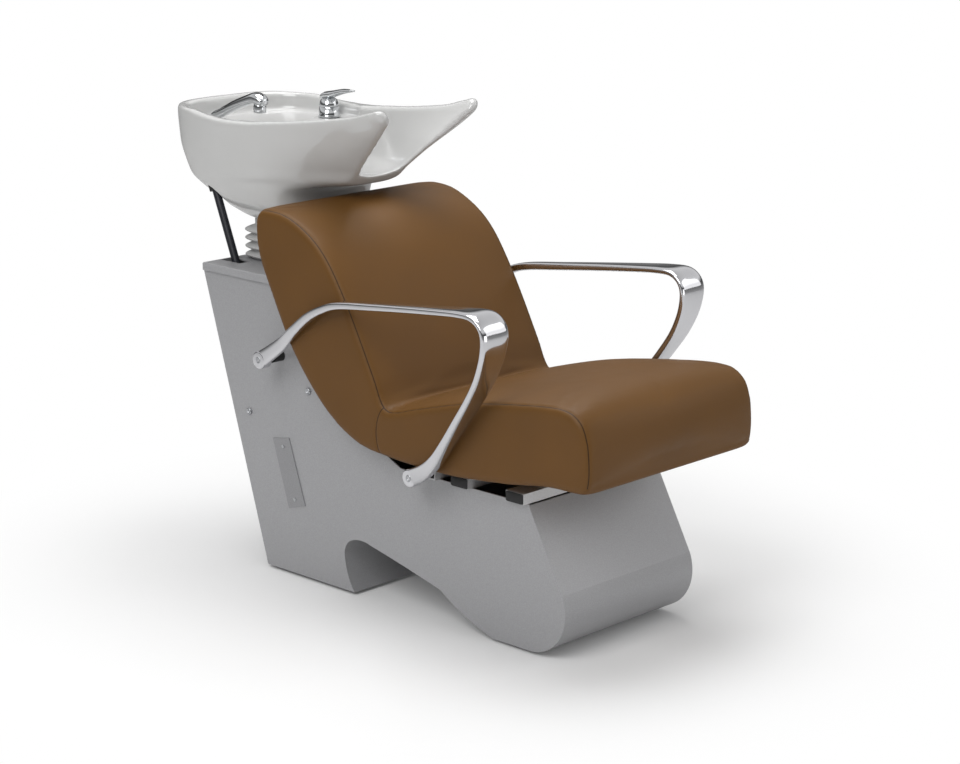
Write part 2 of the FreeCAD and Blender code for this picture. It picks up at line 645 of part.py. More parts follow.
# Ceramic basin: outer shell less the deck space and the bowl, kept behind the slanted front opening
shell = basin_loft(basin_outer_shares, basin_front_powers, basin_rear_powers)
basin = shell.cut(basin_loft(basin_deck_shares)).cut(basin_loft(basin_bowl_shares))
keep = across(side_wire(rim_start_share, rim_shares, side), -basin_width, basin_width)
basin = basin.common(keep)
deck = chair_height * deck_share
floor = chair_height * basin_bowl_shares[0][0]
basin = basin.cut(rod_z(drain_radius, 0, drain_y, basin_low - overrun, floor + overrun))
shower_y = chair_length * shower_share
mixer_y = chair_length * mixer_share
basin = basin.cut(rod_z(shower_radius + rest_gap, shower_x, shower_y,
                        deck - shower_shank - overrun, deck + overrun))
basin = basin.cut(rod_z(mixer_shank_radius, mixer_x, mixer_y, deck - mixer_shank, deck + overrun))

# Hose stretch from a gland under the basin down through the lid slot
top_y, top_z = side(hose_top_share)
hose_top = V(hose_x, top_y, top_z)
hose_way = V(0, hose_lid_y - top_y, lid_top - top_z)
hose_way.normalize()
pocket = Part.makeCylinder(gland_radius, chair_height, hose_top, hose_way)
basin = basin.cut(pocket)
save("basin", basin)
gland = Part.makeCylinder(gland_radius, gland_length, hose_top, hose_way)
socket_top = hose_top + hose_way * (gland_length - gland_depth)
gland = gland.cut(Part.makeCylinder(hose_radius, gland_length + overrun, socket_top, hose_way))
save("hose_gland", gland)
hose_start = hose_top + hose_way * (gland_length - gland_depth)
hose_run = (top_z - lid_low + hose_tail) / -hose_way.z - (gland_length - gland_depth)
save("shower_hose", Part.makeCylinder(hose_radius, hose_run, hose_start, hose_way))

# Waste: slotted strainer in the bowl, tail pipe and back nut
tail_low = floor - drain_length
strainer = rod_z(strainer_radius, 0, drain_y, floor, floor + strainer_thickness)
for i in range(strainer_holes):
    angle = 2 * math.pi * i / strainer_holes
    reach = (drain_radius - drain_wall) / 2
    hole_x, hole_y = reach * math.cos(angle), drain_y + reach * math.sin(angle)
    strainer = strainer.cut(rod_z(strainer_hole_radius, hole_x, hole_y, floor - overrun, floor + overrun))
save("drain_strainer", strainer)
tail = rod_z(drain_radius, 0, drain_y, tail_low + spigot_length, floor)
tail = tail.fuse(rod_z(spigot_radius, 0, drain_y, tail_low, tail_low + spigot_length))
tail = tail.cut(rod_z(drain_radius - drain_wall, 0, drain_y, tail_low - overrun, floor + overrun))
save("drain_tail", tail)
nut = rod_z(nut_radius, 0, drain_y, basin_low - nut_height, basin_low)
nut = nut.cut(rod_z(drain_radius, 0, drain_y, basin_low - nut_height - overrun, basin_low + overrun))
save("drain_nut", nut)

# Gaiter: pleated rubber sleeve from the lid to the underside of the basin
gaiter_y = chair_length * gaiter_middle_share
gaiter_top = basin_low - rest_gap
neck_low = gaiter_top - (gaiter_top - lid_top) / (gaiter_pleats + 1)
pitch = (neck_low - lid_top) / gaiter_pleats
profile = []
for i in range(gaiter_pleats):
    z = lid_top + i * pitch
    profile += [(z, gaiter_fold), (z + pitch / 4, 0), (z + pitch / 2, 0), (z + pitch * 3 / 4, gaiter_fold)]
profile += [(neck_low, gaiter_neck), (gaiter_top, gaiter_neck)]
outer_rings = []
inner_rings = []
for z, tuck in profile:
    for rings, inset in ((outer_rings, tuck), (inner_rings, tuck + gaiter_wall)):
        rings.append(rounded_ring(gaiter_width / 2 - inset, gaiter_depth / 2 - inset,
                                  gaiter_corner - inset, gaiter_y, z))
gaiter = Part.makeLoft(outer_rings, True, True).cut(Part.makeLoft(inner_rings, True, True))
save("gaiter", gaiter)

# Hand shower resting in its deck bush, drawn upwards to use
bush = rod_z(bush_radius, shower_x, shower_y, deck, deck + bush_height)
bush = bush.cut(rod_z(shower_radius + running_fit, shower_x, shower_y,
                      deck - overrun, deck + bush_height + overrun))
save("shower_bush", bush)
shank_top = deck + bush_height
handle = rod_z(shower_radius, shower_x, shower_y, deck - shower_shank, shank_top + rest_gap)
handle_rings = []
handle_centres = [V(shower_x, shower_y - shower_reach * ahead, shank_top + shower_rise * rise)
                  for ahead, rise in handle_shares]
for i, last_centre in enumerate(handle_centres):
    before = handle_centres[max(i - 1, 0)]
    after = handle_centres[min(i + 1, len(handle_centres) - 1)]
    way = V(0, 0, 1) if i == 0 else after - before
    along = i / (len(handle_centres) - 1)
    size = shower_radius * handle_start_share * (1 - along) + shower_head_radius * handle_end_share * along
    handle_rings.append(Part.Wire([Part.makeCircle(size, last_centre, way)]))
handle = handle.fuse(Part.makeLoft(handle_rings, True, False))
head = Part.makeSphere(shower_head_radius, last_centre)
handle = handle.fuse(head)
spray_low = last_centre.z - shower_head_radius - spray_depth
neck = rod_z(spray_radius, shower_x, last_centre.y, spray_low, last_centre.z)
handle = handle.fuse(neck).removeSplitter()
save("hand_shower", handle)
face_plate = rod_z(spray_radius, shower_x, last_centre.y, spray_low - spray_depth, spray_low)
save("spray_face", face_plate)

# Mixer: body on the deck, turning cap, lifting lever
body_top = deck + mixer_height
mixer = rod_z(mixer_radius, mixer_x, mixer_y, deck, body_top)
mixer = mixer.fuse(rod_z(mixer_shank_radius, mixer_x, mixer_y, deck - mixer_shank, deck))
mixer = mixer.cut(rod_z(cap_stem_radius + running_fit, mixer_x, mixer_y,
                        body_top - cap_stem - rest_gap, body_top + overrun))
save("mixer_body", mixer.removeSplitter())
cap_low = body_top + rest_gap
cap = rod_z(mixer_radius, mixer_x, mixer_y, cap_low, cap_low + cap_height)
cap = cap.fuse(rod_z(cap_stem_radius, mixer_x, mixer_y, body_top - cap_stem, cap_low))
slot_low = cap_low + cap_height * cap_floor_share
cap = cap.cut(box(mixer_x - lever_slot / 2, mixer_x + lever_slot / 2, mixer_y - mixer_radius - overrun,
                  mixer_y + mixer_radius + overrun, slot_low, cap_low + cap_height + overrun))
lever_z = (slot_low + cap_low + cap_height) / 2
cap = cap.cut(rod_x(lever_pin_radius + running_fit, mixer_x - mixer_radius - overrun,
                    mixer_x + mixer_radius + overrun, mixer_y, lever_z))
save("mixer_cap", cap.removeSplitter())
tongue = (lever_slot - 2 * lever_side_gap) / 2
eye = lever_thickness / 2 + rest_gap
lever = rod_x(eye, mixer_x - tongue, mixer_x + tongue, mixer_y, lever_z)
pin_half = mixer_radius * lever_pin_share
lever = lever.fuse(rod_x(lever_pin_radius, mixer_x - pin_half, mixer_x + pin_half, mixer_y, lever_z))
half_blade = lever_thickness / 2
tip_y, tip_z = mixer_y - lever_length, lever_z + lever_rise
neck_y, neck_z = mixer_y - mixer_radius - rest_gap, lever_z + lever_rise * mixer_radius / lever_length
blade = polygon([(mixer_y, lever_z - half_blade), (mixer_y, lever_z + half_blade),
                 (tip_y, tip_z + half_blade), (tip_y, tip_z)], mixer_x - tongue, mixer_x + tongue)
wide = polygon([(neck_y - lever_slot, neck_z), (neck_y - lever_slot, neck_z + lever_slot),
                (tip_y, tip_z + half_blade), (tip_y, tip_z)],
               mixer_x - lever_tip_width / 2, mixer_x + lever_tip_width / 2)
lever = lever.fuse(blade).fuse(wide).removeSplitter()
save("mixer_lever", lever)
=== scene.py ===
"""Looks of the salon backwash chair: padding, castings, ceramic, gaiter, fittings, finishes and studio."""
import math

import bmesh
import bpy
import numpy as np
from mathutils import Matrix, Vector


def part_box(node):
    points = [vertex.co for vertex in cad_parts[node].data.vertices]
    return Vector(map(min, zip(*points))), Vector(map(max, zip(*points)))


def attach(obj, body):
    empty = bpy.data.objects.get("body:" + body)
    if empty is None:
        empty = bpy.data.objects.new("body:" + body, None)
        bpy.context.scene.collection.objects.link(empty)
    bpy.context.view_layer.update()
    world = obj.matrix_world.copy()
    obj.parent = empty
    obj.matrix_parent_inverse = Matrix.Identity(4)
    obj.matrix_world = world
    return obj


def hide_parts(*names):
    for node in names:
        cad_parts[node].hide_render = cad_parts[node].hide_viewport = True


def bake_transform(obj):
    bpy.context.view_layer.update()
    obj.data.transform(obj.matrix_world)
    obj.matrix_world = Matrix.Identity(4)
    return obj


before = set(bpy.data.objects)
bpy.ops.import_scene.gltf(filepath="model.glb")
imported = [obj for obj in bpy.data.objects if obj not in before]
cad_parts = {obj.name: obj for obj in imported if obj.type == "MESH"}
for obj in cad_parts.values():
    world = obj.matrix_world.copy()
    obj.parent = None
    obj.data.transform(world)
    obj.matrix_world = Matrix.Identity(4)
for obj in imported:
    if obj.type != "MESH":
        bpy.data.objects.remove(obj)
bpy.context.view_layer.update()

bl_info = {
    "name": "Backwash chair looks",
    "version": (1, 0, 0),
    "blender": (4, 5, 0),
    "location": "View3D > Sidebar > Backwash",
    "description": "Builds the soft, cast, glazed and plated pieces of a salon backwash chair",
    "category": "Object",
}

# Side view of the chair: metres that the outline shares below are shares of.
LENGTH, HEIGHT = 1.232, 0.955
# Points of a mesh closer than this, in metres, become one.
MERGE_DISTANCE = 1e-5

# Padded body in side view: over the top of the back, down its front, along the seat, round it and up behind.
# The last column is the share of the crown that the padding has there.
CUSHION_SHARES = np.array([
    (0.074, 0.746, 0.0), (0.068, 0.775, 0.0), (0.045, 0.786, 0.0), (-0.013, 0.775, 0.15),
    (-0.080, 0.723, 0.34), (-0.134, 0.629, 0.5), (-0.193, 0.490, 0.5), (-0.208, 0.448, 0.45),
    (-0.226, 0.430, 0.45), (-0.284, 0.450, 0.75), (-0.378, 0.482, 1.0), (-0.469, 0.503, 1.0),
    (-0.570, 0.518, 0.9), (-0.609, 0.503, 0.7), (-0.625, 0.466, 0.5), (-0.630, 0.419, 0.35),
    (-0.629, 0.379, 0.1), (-0.624, 0.364, 0.0), (-0.607, 0.359, 0.0), (-0.542, 0.356, 0.0),
    (-0.459, 0.340, 0.0), (-0.337, 0.327, 0.0), (-0.201, 0.333, 0.0), (-0.140, 0.350, 0.0),
    (-0.075, 0.402, 0.0), (-0.007, 0.501, 0.0), (0.044, 0.619, 0.0), (0.068, 0.686, 0.0)])
# Middle line of the side faces, and the sewn line that parts seat and back on them.
SPINE_SHARES = np.array([(-0.580, 0.437), (-0.215, 0.385), (0.020, 0.710)])
GUSSET_SHARES = np.array([(-0.211, 0.429), (-0.199, 0.383), (-0.206, 0.339)])
CREASE_SHARES = np.array([-0.226, 0.430])
# Height above which the sides are sewn, reach of the gusset seam to each side of its middle, reach of the
# held crease and width of a seam's groove, in metres.
SIDE_SEAM_LOW, GUSSET_REACH, CREASE_REACH, GROOVE_WIDTH = 0.36, 0.03, 0.012, 0.0024
# Seam thread: half width of its solid line and distance at which it has faded, in metres.
THREAD_SOLID, THREAD_FADED = 0.0005, 0.0012
# Stuffing: pressure inside the cover and number of frames it is blown up for.
STUFFING_PRESSURE, STUFFING_FRAMES = 4.0, 20

# Arm centre line from the rear boss to the front one: shares of length and height, share of the outward
# swell, then half width and half thickness in mm.
ARM_LINE = np.array([
    (0.062, 0.470, 0.16, 6.8, 16.6), (0.010, 0.514, 0.20, 6.8, 13.2), (-0.029, 0.552, 0.42, 7.5, 10.2),
    (-0.067, 0.588, 0.50, 9.0, 9.1), (-0.105, 0.612, 0.58, 10.5, 8.3), (-0.145, 0.628, 0.64, 12.5, 7.8),
    (-0.221, 0.641, 0.74, 15.5, 7.4), (-0.303, 0.654, 0.85, 19.5, 7.2), (-0.384, 0.666, 0.95, 26.0, 7.0),
    (-0.424, 0.671, 0.98, 30.0, 7.0), (-0.452, 0.671, 1.0, 33.0, 7.0), (-0.469, 0.660, 1.0, 33.4, 7.0),
    (-0.477, 0.641, 1.0, 33.4, 7.0), (-0.476, 0.614, 1.0, 32.0, 7.0), (-0.469, 0.583, 0.99, 30.0, 7.2),
    (-0.455, 0.546, 0.95, 27.0, 7.6), (-0.433, 0.505, 0.88, 24.0, 8.0), (-0.406, 0.460, 0.80, 21.0, 8.6),
    (-0.374, 0.409, 0.68, 16.5, 9.6), (-0.344, 0.365, 0.55, 12.0, 12.0), (-0.313, 0.332, 0.42, 8.6, 15.2),
    (-0.276, 0.3085, 0.14, 6.8, 16.6)])
ARM_BOSS_RADIUS, ARM_BOSS_LENGTH, ARM_BOSS_TUCK, ARM_STAND_OFF = 0.0175, 0.015, 0.014, 0.039

# Front lip of the basin: width of the rolled band, height where it starts, rise to its full size and height
# of the rows that its edge is found in, in metres. A few relaxing passes come before the lip is rolled.
LIP_WIDTH, LIP_LOW, LIP_RISE, LIP_ROW = 0.080, 0.830, 0.080, 0.004
FIRST_PASSES = 6

# Gaiter: number of pleats, share of its height where the neck starts, half the share it settles over, tuck
# of a pleat and of the neck in metres, and share of the outer size that the inner skin has.
PLEATS, NECK_START, NECK_EASE, PLEAT_TUCK, NECK_TUCK, INNER_SHARE = 4, 0.80, 0.03, 0.012, 0.017, 0.965
# Ends of the gaiter that stay on the lid and on the basin, and radius of the hose, in metres.
GAITER_FOOT, GAITER_HEAD, HOSE_RADIUS = 0.006, 0.012, 0.008

# Hand shower centre line: run forwards from its bush and rise above the deck, in metres.
SHOWER_LINE = np.array([(0.0, -0.030), (0.0, 0.002), (0.003, 0.011), (0.015, 0.020), (0.032, 0.027),
                        (0.077, 0.046), (0.128, 0.063), (0.147, 0.064), (0.162, 0.056)])

# Screw heads: piece, CAD node, inner and outer distance from the centre plane, radius and radius of the
# recess in metres, then places as shares of length and height.
SCREW_HEADS = (
    ("arm_screw_heads", "arm_screws", 0.2295, 0.2412, 0.0068, 0.0036, ARM_LINE[[0, -1], :2]),
    ("side_bolt_heads", "side_bolts", 0.180, 0.1845, 0.0068, 0.0030, [(0.142, 0.332), (-0.002, 0.408)]))
RECESS_DEPTH = 0.0028
# Rail plug from inside the tube to its face: stand-out from the rail's end in metres, share of its section.
PLUG_ROWS = ((-0.008, 0.0), (-0.008, 0.8), (0.0004, 0.97), (0.0012, 0.95), (0.0016, 0.88), (0.0016, 0.0))

# Floor: reach to each side and drop below the glides; middle of the shade under the chair, and the distances
# between which it fades into white. All in metres.
FLOOR_REACH, FLOOR_DROP = 30, 0.0006
SHADE_MIDDLE, SHADE_NEAR, SHADE_FAR = (0, -0.15, 0), 0.60, 1.12
# Lamps: name, place, aim, size in metres and power in watts.
LAMPS = (
    ("key", (-3.2, -1.0, 3.2), (0, -0.2, 0.5), 2.4, 95),
    ("fill", (2.6, -3.2, 2.2), (0, -0.2, 0.5), 2.6, 22),
    ("low", (0.6, -3.4, 0.45), (0, -0.5, 0.1), 1.2, 8),
    ("top", (0.3, 0.4, 3.6), (0, -0.1, 0.4), 2.4, 90))
# Camera fitted to the photo: place, line of sight, focal length and sensor width in mm.
CAMERA_PLACE, CAMERA_SIGHT = (-3.2454, -3.4242, 1.5660), (0.69766, 0.67325, -0.24497)
CAMERA_LENS, SENSOR_WIDTH = 91.05, 36.0


class ChairSizes(bpy.types.PropertyGroup):
    """Sizes of the soft and finishing details."""
    remesh: bpy.props.FloatProperty(name="Padding mesh", description="Voxel size of the padding",
                                    default=0.006, min=0.003, unit="LENGTH")
    swell: bpy.props.FloatProperty(name="Padding swell", description="Most that the stuffed cover may move",
                                   default=0.005, min=0.0, unit="LENGTH")
    crown: bpy.props.FloatProperty(name="Crown", description="Rise of the padding at its middle",
                                   default=0.014, min=0.0, unit="LENGTH")
    tuck: bpy.props.FloatProperty(name="Tuck", description="How far the cover draws in at its sides",
                                  default=0.005, min=0.0, unit="LENGTH")
    seam_inset: bpy.props.FloatProperty(name="Seam inset", description="From the side face to a side seam",
                                        default=0.006, min=0.0, unit="LENGTH")
    seam_depth: bpy.props.FloatProperty(name="Seam depth", description="Depth of the drawn-in seam line",
                                        default=0.0014, min=0.0, unit="LENGTH")
    glaze_mesh: bpy.props.FloatProperty(name="Ceramic mesh", description="Voxel size of the ceramic",
                                        default=0.0024, min=0.002, unit="LENGTH")
    glaze_round: bpy.props.IntProperty(name="Glaze rounding", description="Relaxing passes over the ceramic",
                                       default=70, min=0)
    glaze_share: bpy.props.FloatProperty(name="Ceramic facets", description="Share of facets kept",
                                         default=0.5, min=0.1, max=1.0)
    lip_flare: bpy.props.FloatProperty(name="Lip flare", description="Outward lean of the basin's front lip",
                                       default=0.008, min=0.0, unit="LENGTH")
    lip_roll: bpy.props.FloatProperty(name="Lip roll", description="Growth of the front lip of the basin",
                                      default=0.0045, min=0.0, unit="LENGTH")


class ChairColours(bpy.types.PropertyGroup):
    """Finish colours as sRGB hex."""
    leatherette: bpy.props.StringProperty(name="Leatherette", description="Seat and back", default="5E3F18")
    powder: bpy.props.StringProperty(name="Powder coat", description="Folded base", default="9C9C9E")
    hatch: bpy.props.StringProperty(name="Hatch", description="Access hatch", default="8E8E90")
    rail: bpy.props.StringProperty(name="Rails", description="Seat rails", default="BEBEBF")
    black_steel: bpy.props.StringProperty(name="Black steel", description="Plates inside", default="2A2A2C")
    # The basin's glaze is white; this grey is painted shade over the whole basin.
    ceramic: bpy.props.StringProperty(name="Ceramic", description="Glaze of the basin", default="B8B8B7")
    casting: bpy.props.StringProperty(name="Casting", description="Polished arms", default="DCDCDF")
    chrome: bpy.props.StringProperty(name="Chrome", description="Mixer and shower", default="D2D4D6")
    zinc: bpy.props.StringProperty(name="Zinc", description="Screws and bolts", default="B9BBBE")
    # The gaiter's rubber is white; this grey is painted shade for the shadow under the basin, and the drain
    # nut takes it too.
    gaiter: bpy.props.StringProperty(name="Gaiter", description="Pleated sleeve", default="AFAFAE")
    rubber: bpy.props.StringProperty(name="Rubber", description="Plugs and spacers", default="1C1C1D")
    inlay: bpy.props.StringProperty(name="Inlay", description="Strips in shower and lever", default="141416")
    hose: bpy.props.StringProperty(name="Hose", description="Shower hose", default="14161F")


def linear(code):
    """Linear RGBA of an sRGB hex colour."""
    channels = [int(code[i:i + 2], 16) / 255 for i in (0, 2, 4)]
    return [c / 12.92 if c <= 0.04045 else ((c + 0.055) / 1.055) ** 2.4 for c in channels] + [1.0]


def add(tree, kind, inputs=None, **settings):
    """Adds one node with its settings, and gives its inputs values or links."""
    made = tree.nodes.new(kind)
    for name, value in settings.items():
        setattr(made, name, value)
    for name, value in (inputs or {}).items():
        if isinstance(value, bpy.types.NodeSocket):
            tree.links.new(value, made.inputs[name])
        else:
            made.inputs[name].default_value = value
    return made


def per_metre(size_mm):
    """Texture scale whose pattern repeats about every size_mm."""
    return 1000.0 / size_mm


def finish(name, **surface):
    """New material with one principled shader, returned with its node tree and shader."""
    made = bpy.data.materials.new(name)
    made.use_nodes = True
    tree = made.node_tree
    shader = tree.nodes["Principled BSDF"]
    for key, value in surface.items():
        shader.inputs[key.replace("_", " ")].default_value = value
    return made, tree, shader


def noise(tree, where, size_mm, detail):
    """Grey socket of a soft noise with the given grain and detail."""
    inputs = {"Vector": where, "Scale": per_metre(size_mm), "Detail": detail}
    return add(tree, "ShaderNodeTexNoise", inputs).outputs["Fac"]


def mottled(tree, code, spread, size_mm, where, detail=4.0, edge=0.3):
    """Colour socket: the hex colour darkened and lightened by noise values from edge to one less edge."""
    base = np.array(linear(code))
    ramp = add(tree, "ShaderNodeValToRGB", {"Fac": noise(tree, where, size_mm, detail)})
    ramp.color_ramp.elements[0].position, ramp.color_ramp.elements[1].position = edge, 1 - edge
    ramp.color_ramp.elements[0].color = list(base[:3] * (1 - spread)) + [1]
    ramp.color_ramp.elements[1].color = list(np.minimum(base[:3] * (1 + spread), 1)) + [1]
    return ramp.outputs["Color"]


def roughened(tree, shader, value, low, high):
    """Roughness that runs from low to high with a grey socket."""
    spread = add(tree, "ShaderNodeMapRange", {"Value": value, "To Min": low, "To Max": high})
    tree.links.new(spread.outputs[0], shader.inputs["Roughness"])


def bumped(tree, shader, height, strength, distance):
    """Fine relief of a surface from a grey socket."""
    relief = add(tree, "ShaderNodeBump", {"Strength": strength, "Distance": distance, "Height": height})
    tree.links.new(relief.outputs[0], shader.inputs["Normal"])


def seam_arc():
    """Centre and radius of the circle through the three gusset points, in metres of the side view."""
    a, b, c = GUSSET_SHARES * np.array([LENGTH, HEIGHT])
    rows = 2 * np.stack([b - a, c - a])
    centre = np.linalg.solve(rows, np.array([b @ b - a @ a, c @ c - a @ a]))
    return centre, float(np.linalg.norm(a - centre))


def leatherette(colours, sizes):
    """Embossed vinyl leatherette: fine pebbled grain, a soft sheen and dark thread in the seams."""
    made, tree, shader = finish("brown_leatherette", Roughness=0.5, IOR=1.4, Specular_IOR_Level=0.36)
    where = add(tree, "ShaderNodeTexCoord").outputs["Object"]

    def maths(operation, first, second=0.0):
        """Output of one math node."""
        return add(tree, "ShaderNodeMath", {0: first, 1: second}, operation=operation).outputs[0]

    def thread(distance):
        """1 on the solid line of thread, falling to 0 where it has faded."""
        off = maths("ABSOLUTE", distance)
        fading = {"Value": off, "From Min": THREAD_SOLID, "From Max": THREAD_FADED, "To Min": 1.0}
        return add(tree, "ShaderNodeMapRange", {**fading, "To Max": 0.0}).outputs[0]

    axes = add(tree, "ShaderNodeSeparateXYZ", {"Vector": where})
    reach = maths("ABSOLUTE", axes.outputs["X"])
    seam_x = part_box("back_cushion")[1][0] - sizes.seam_inset
    upper = maths("GREATER_THAN", axes.outputs["Z"], SIDE_SEAM_LOW)
    side_line = maths("MULTIPLY", thread(maths("SUBTRACT", reach, seam_x)), upper)
    centre, radius = seam_arc()
    flat = add(tree, "ShaderNodeCombineXYZ", {"Y": axes.outputs["Y"], "Z": axes.outputs["Z"]}).outputs[0]
    away = add(tree, "ShaderNodeVectorMath", {0: flat, 1: (0, *centre)}, operation="DISTANCE")
    outside = maths("GREATER_THAN", reach, seam_x)
    off_middle = maths("SUBTRACT", axes.outputs["Y"], GUSSET_SHARES[1, 0] * LENGTH)
    near = maths("LESS_THAN", maths("ABSOLUTE", off_middle), GUSSET_REACH)
    off_arc = maths("SUBTRACT", away.outputs["Value"], radius)
    arc_line = maths("MULTIPLY", maths("MULTIPLY", thread(off_arc), outside), near)
    line = maths("MAXIMUM", side_line, arc_line)
    tone = mottled(tree, colours.leatherette, 0.05, 120, where)
    dark = [0.22 * c for c in linear(colours.leatherette)[:3]] + [1]
    mix = add(tree, "ShaderNodeMix", {0: line, 6: tone, 7: dark}, data_type="RGBA")
    tree.links.new(mix.outputs[2], shader.inputs["Base Color"])
    roughened(tree, shader, noise(tree, where, 60, 3.0), 0.44, 0.56)
    # Grain pebbles of the real cover are near 1 mm; 1.8 mm is drawn so that they show close by.
    pebble = add(tree, "ShaderNodeTexVoronoi", {"Vector": where, "Scale": per_metre(1.8)}, feature="F1")
    bumped(tree, shader, pebble.outputs["Distance"], 0.14, 0.0005)
    return made


def powder_coat(name, code, rough=0.42):
    """Silver-grey polyester powder on sheet steel: fine metallic speckle and a faint orange-peel ripple."""
    made, tree, shader = finish(name, Metallic=0.25, Roughness=rough, IOR=1.5)
    where = add(tree, "ShaderNodeTexCoord").outputs["Object"]
    speckled = mottled(tree, code, 0.07, 1.6, where, detail=2.0, edge=0.35)
    tree.links.new(speckled, shader.inputs["Base Color"])
    roughened(tree, shader, noise(tree, where, 260, 2.0), rough - 0.04, rough + 0.05)
    bumped(tree, shader, noise(tree, where, 4.0, 1.0), 0.05, 0.0004)
    return made


def glaze(colours):
    """Glazed vitreous china: glossy clear glaze with a very slight waviness over a warm white body whose
    colour is greyed as painted shade.
    """
    made, tree, shader = finish("glazed_china_with_painted_shade", Roughness=0.12, IOR=1.52)
    where = add(tree, "ShaderNodeTexCoord").outputs["Object"]
    tree.links.new(mottled(tree, colours.ceramic, 0.015, 120, where), shader.inputs["Base Color"])
    bumped(tree, shader, noise(tree, where, 70, 1.0), 0.04, 0.002)
    shader.inputs["Coat Weight"].default_value = 0.5
    shader.inputs["Coat Roughness"].default_value = 0.04
    return made


def plated(name, code, rough, wear_mm=8.0):
    """Polished metal: mirror finish whose roughness varies a little with handling marks."""
    made, tree, shader = finish(name, Metallic=1.0, Roughness=rough)
    where = add(tree, "ShaderNodeTexCoord").outputs["Object"]
    tree.links.new(mottled(tree, code, 0.02, 40, where), shader.inputs["Base Color"])
    roughened(tree, shader, noise(tree, where, wear_mm, 5.0), rough * 0.7, rough * 1.4)
    return made


def moulded(name, code, rough, grain_mm=1.5, strength=0.08):
    """Moulded rubber or plastic: matt skin with a fine spark-eroded grain."""
    made, tree, shader = finish(name, Roughness=rough, IOR=1.5)
    where = add(tree, "ShaderNodeTexCoord").outputs["Object"]
    tree.links.new(mottled(tree, code, 0.05, 30, where), shader.inputs["Base Color"])
    bumped(tree, shader, noise(tree, where, grain_mm, 2.0), strength, 0.0004)
    return made


FINISHES = {}


def make_finishes(context):
    """Fills FINISHES once, from the colours and sizes in the panel."""
    if FINISHES:
        return
    colours, sizes = context.scene.chair_colours, context.scene.chair_sizes
    FINISHES.update(
        leatherette=leatherette(colours, sizes),
        powder=powder_coat("silver_powder_coat", colours.powder),
        hatch=powder_coat("grey_powder_coat", colours.hatch, 0.5),
        rail=powder_coat("light_grey_powder_coat", colours.rail, 0.45),
        black_steel=powder_coat("black_powder_coat", colours.black_steel, 0.5),
        glaze=glaze(colours),
        casting=plated("polished_cast_aluminium", colours.casting, 0.09, 14.0),
        chrome=plated("bright_chrome", colours.chrome, 0.05),
        zinc=plated("zinc_plated_steel", colours.zinc, 0.28, 3.0),
        # Gaiter finish: white rubber greyed as painted shade for the shadow under the basin.
        gaiter=moulded("silicone_rubber_with_painted_shade", colours.gaiter, 0.5),
        black=moulded("black_moulded_rubber", colours.rubber, 0.6),
        inlay=moulded("black_gloss_polymer", colours.inlay, 0.16, 3.0, 0.02),
        hose=moulded("dark_hose_sleeve", colours.hose, 0.42))


def grid_faces(rows, columns, start, around, along):
    """Quad indices of a rows by columns grid, closed around its columns or along its rows where asked."""
    r = np.arange(rows if along else rows - 1)
    c = np.arange(columns if around else columns - 1)
    a, b = np.meshgrid(r, c, indexing="ij")
    a1, b1 = (a + 1) % rows, (b + 1) % columns
    quads = np.stack([a * columns + b, a * columns + b1, a1 * columns + b1, a1 * columns + b], axis=-1)
    return quads.reshape(-1, 4) + start


def surface(name, grids):
    """One mesh object from grids of (points, around, along), with poles merged and faces turned outwards."""
    points, faces, start = [], [], 0
    for grid, around, along in grids:
        rows, columns = grid.shape[:2]
        points.append(grid.reshape(-1, 3))
        faces.append(grid_faces(rows, columns, start, around, along))
        start += rows * columns
    mesh = bpy.data.meshes.new(name)
    mesh.from_pydata(np.concatenate(points).tolist(), [], np.concatenate(faces).tolist())
    work = bmesh.new()
    work.from_mesh(mesh)
    bmesh.ops.remove_doubles(work, verts=work.verts, dist=MERGE_DISTANCE)
    bmesh.ops.dissolve_degenerate(work, edges=work.edges, dist=MERGE_DISTANCE)
    bmesh.ops.recalc_face_normals(work, faces=work.faces)
    work.to_mesh(mesh)
    work.free()
    mesh.polygons.foreach_set("use_smooth", np.ones(len(mesh.polygons), bool))
    made = bpy.data.objects.new(name, mesh)
    bpy.context.scene.collection.objects.link(made)
    return made


def through_knots(padded):
    """Catmull-Rom line, 24 points to a stretch, through all but the first and last of the given knots."""
    t = np.linspace(0, 1, 24, endpoint=False)[:, None, None]
    p0, p1, p2, p3 = padded[:-3], padded[1:-2], padded[2:-1], padded[3:]
    line = 0.5 * (2 * p1 + (p2 - p0) * t + (2 * p0 - 5 * p1 + 4 * p2 - p3) * t ** 2
                  + (3 * p1 - p0 - 3 * p2 + p3) * t ** 3)
    return np.vstack([line.transpose(1, 0, 2).reshape(-1, padded.shape[1]), padded[-2:-1]])


def smooth_line(knots, count):
    """Open smooth line through the knots, with count evenly spaced points."""
    before, after = 2 * knots[0] - knots[1], 2 * knots[-1] - knots[-2]
    return evenly(through_knots(np.vstack([before, knots, after])), count)


def smooth_loop(knots, count):
    """Closed smooth line through the knots, with count evenly spaced points and no repeated end."""
    return evenly(through_knots(np.vstack([knots[-1:], knots, knots[:2]])), count + 1)[:-1]


def evenly(line, count):
    """The same line with count points, evenly spaced along it."""
    gaps = np.linalg.norm(np.diff(line[:, :3], axis=0), axis=1)
    travel = np.concatenate([[0], np.cumsum(gaps)])
    wanted = np.linspace(0, travel[-1], count)
    return np.stack([np.interp(wanted, travel, column) for column in line.T], axis=1)


def dress(piece, material, slot, body, *nodes):
    """Gives a piece its finish and body, and lets it stand for CAD nodes; the slot is not used."""
    piece.data.materials.clear()
    piece.data.materials.append(FINISHES[material])
    if body:
        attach(piece, body)
    if nodes:
        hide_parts(*nodes)
    return piece


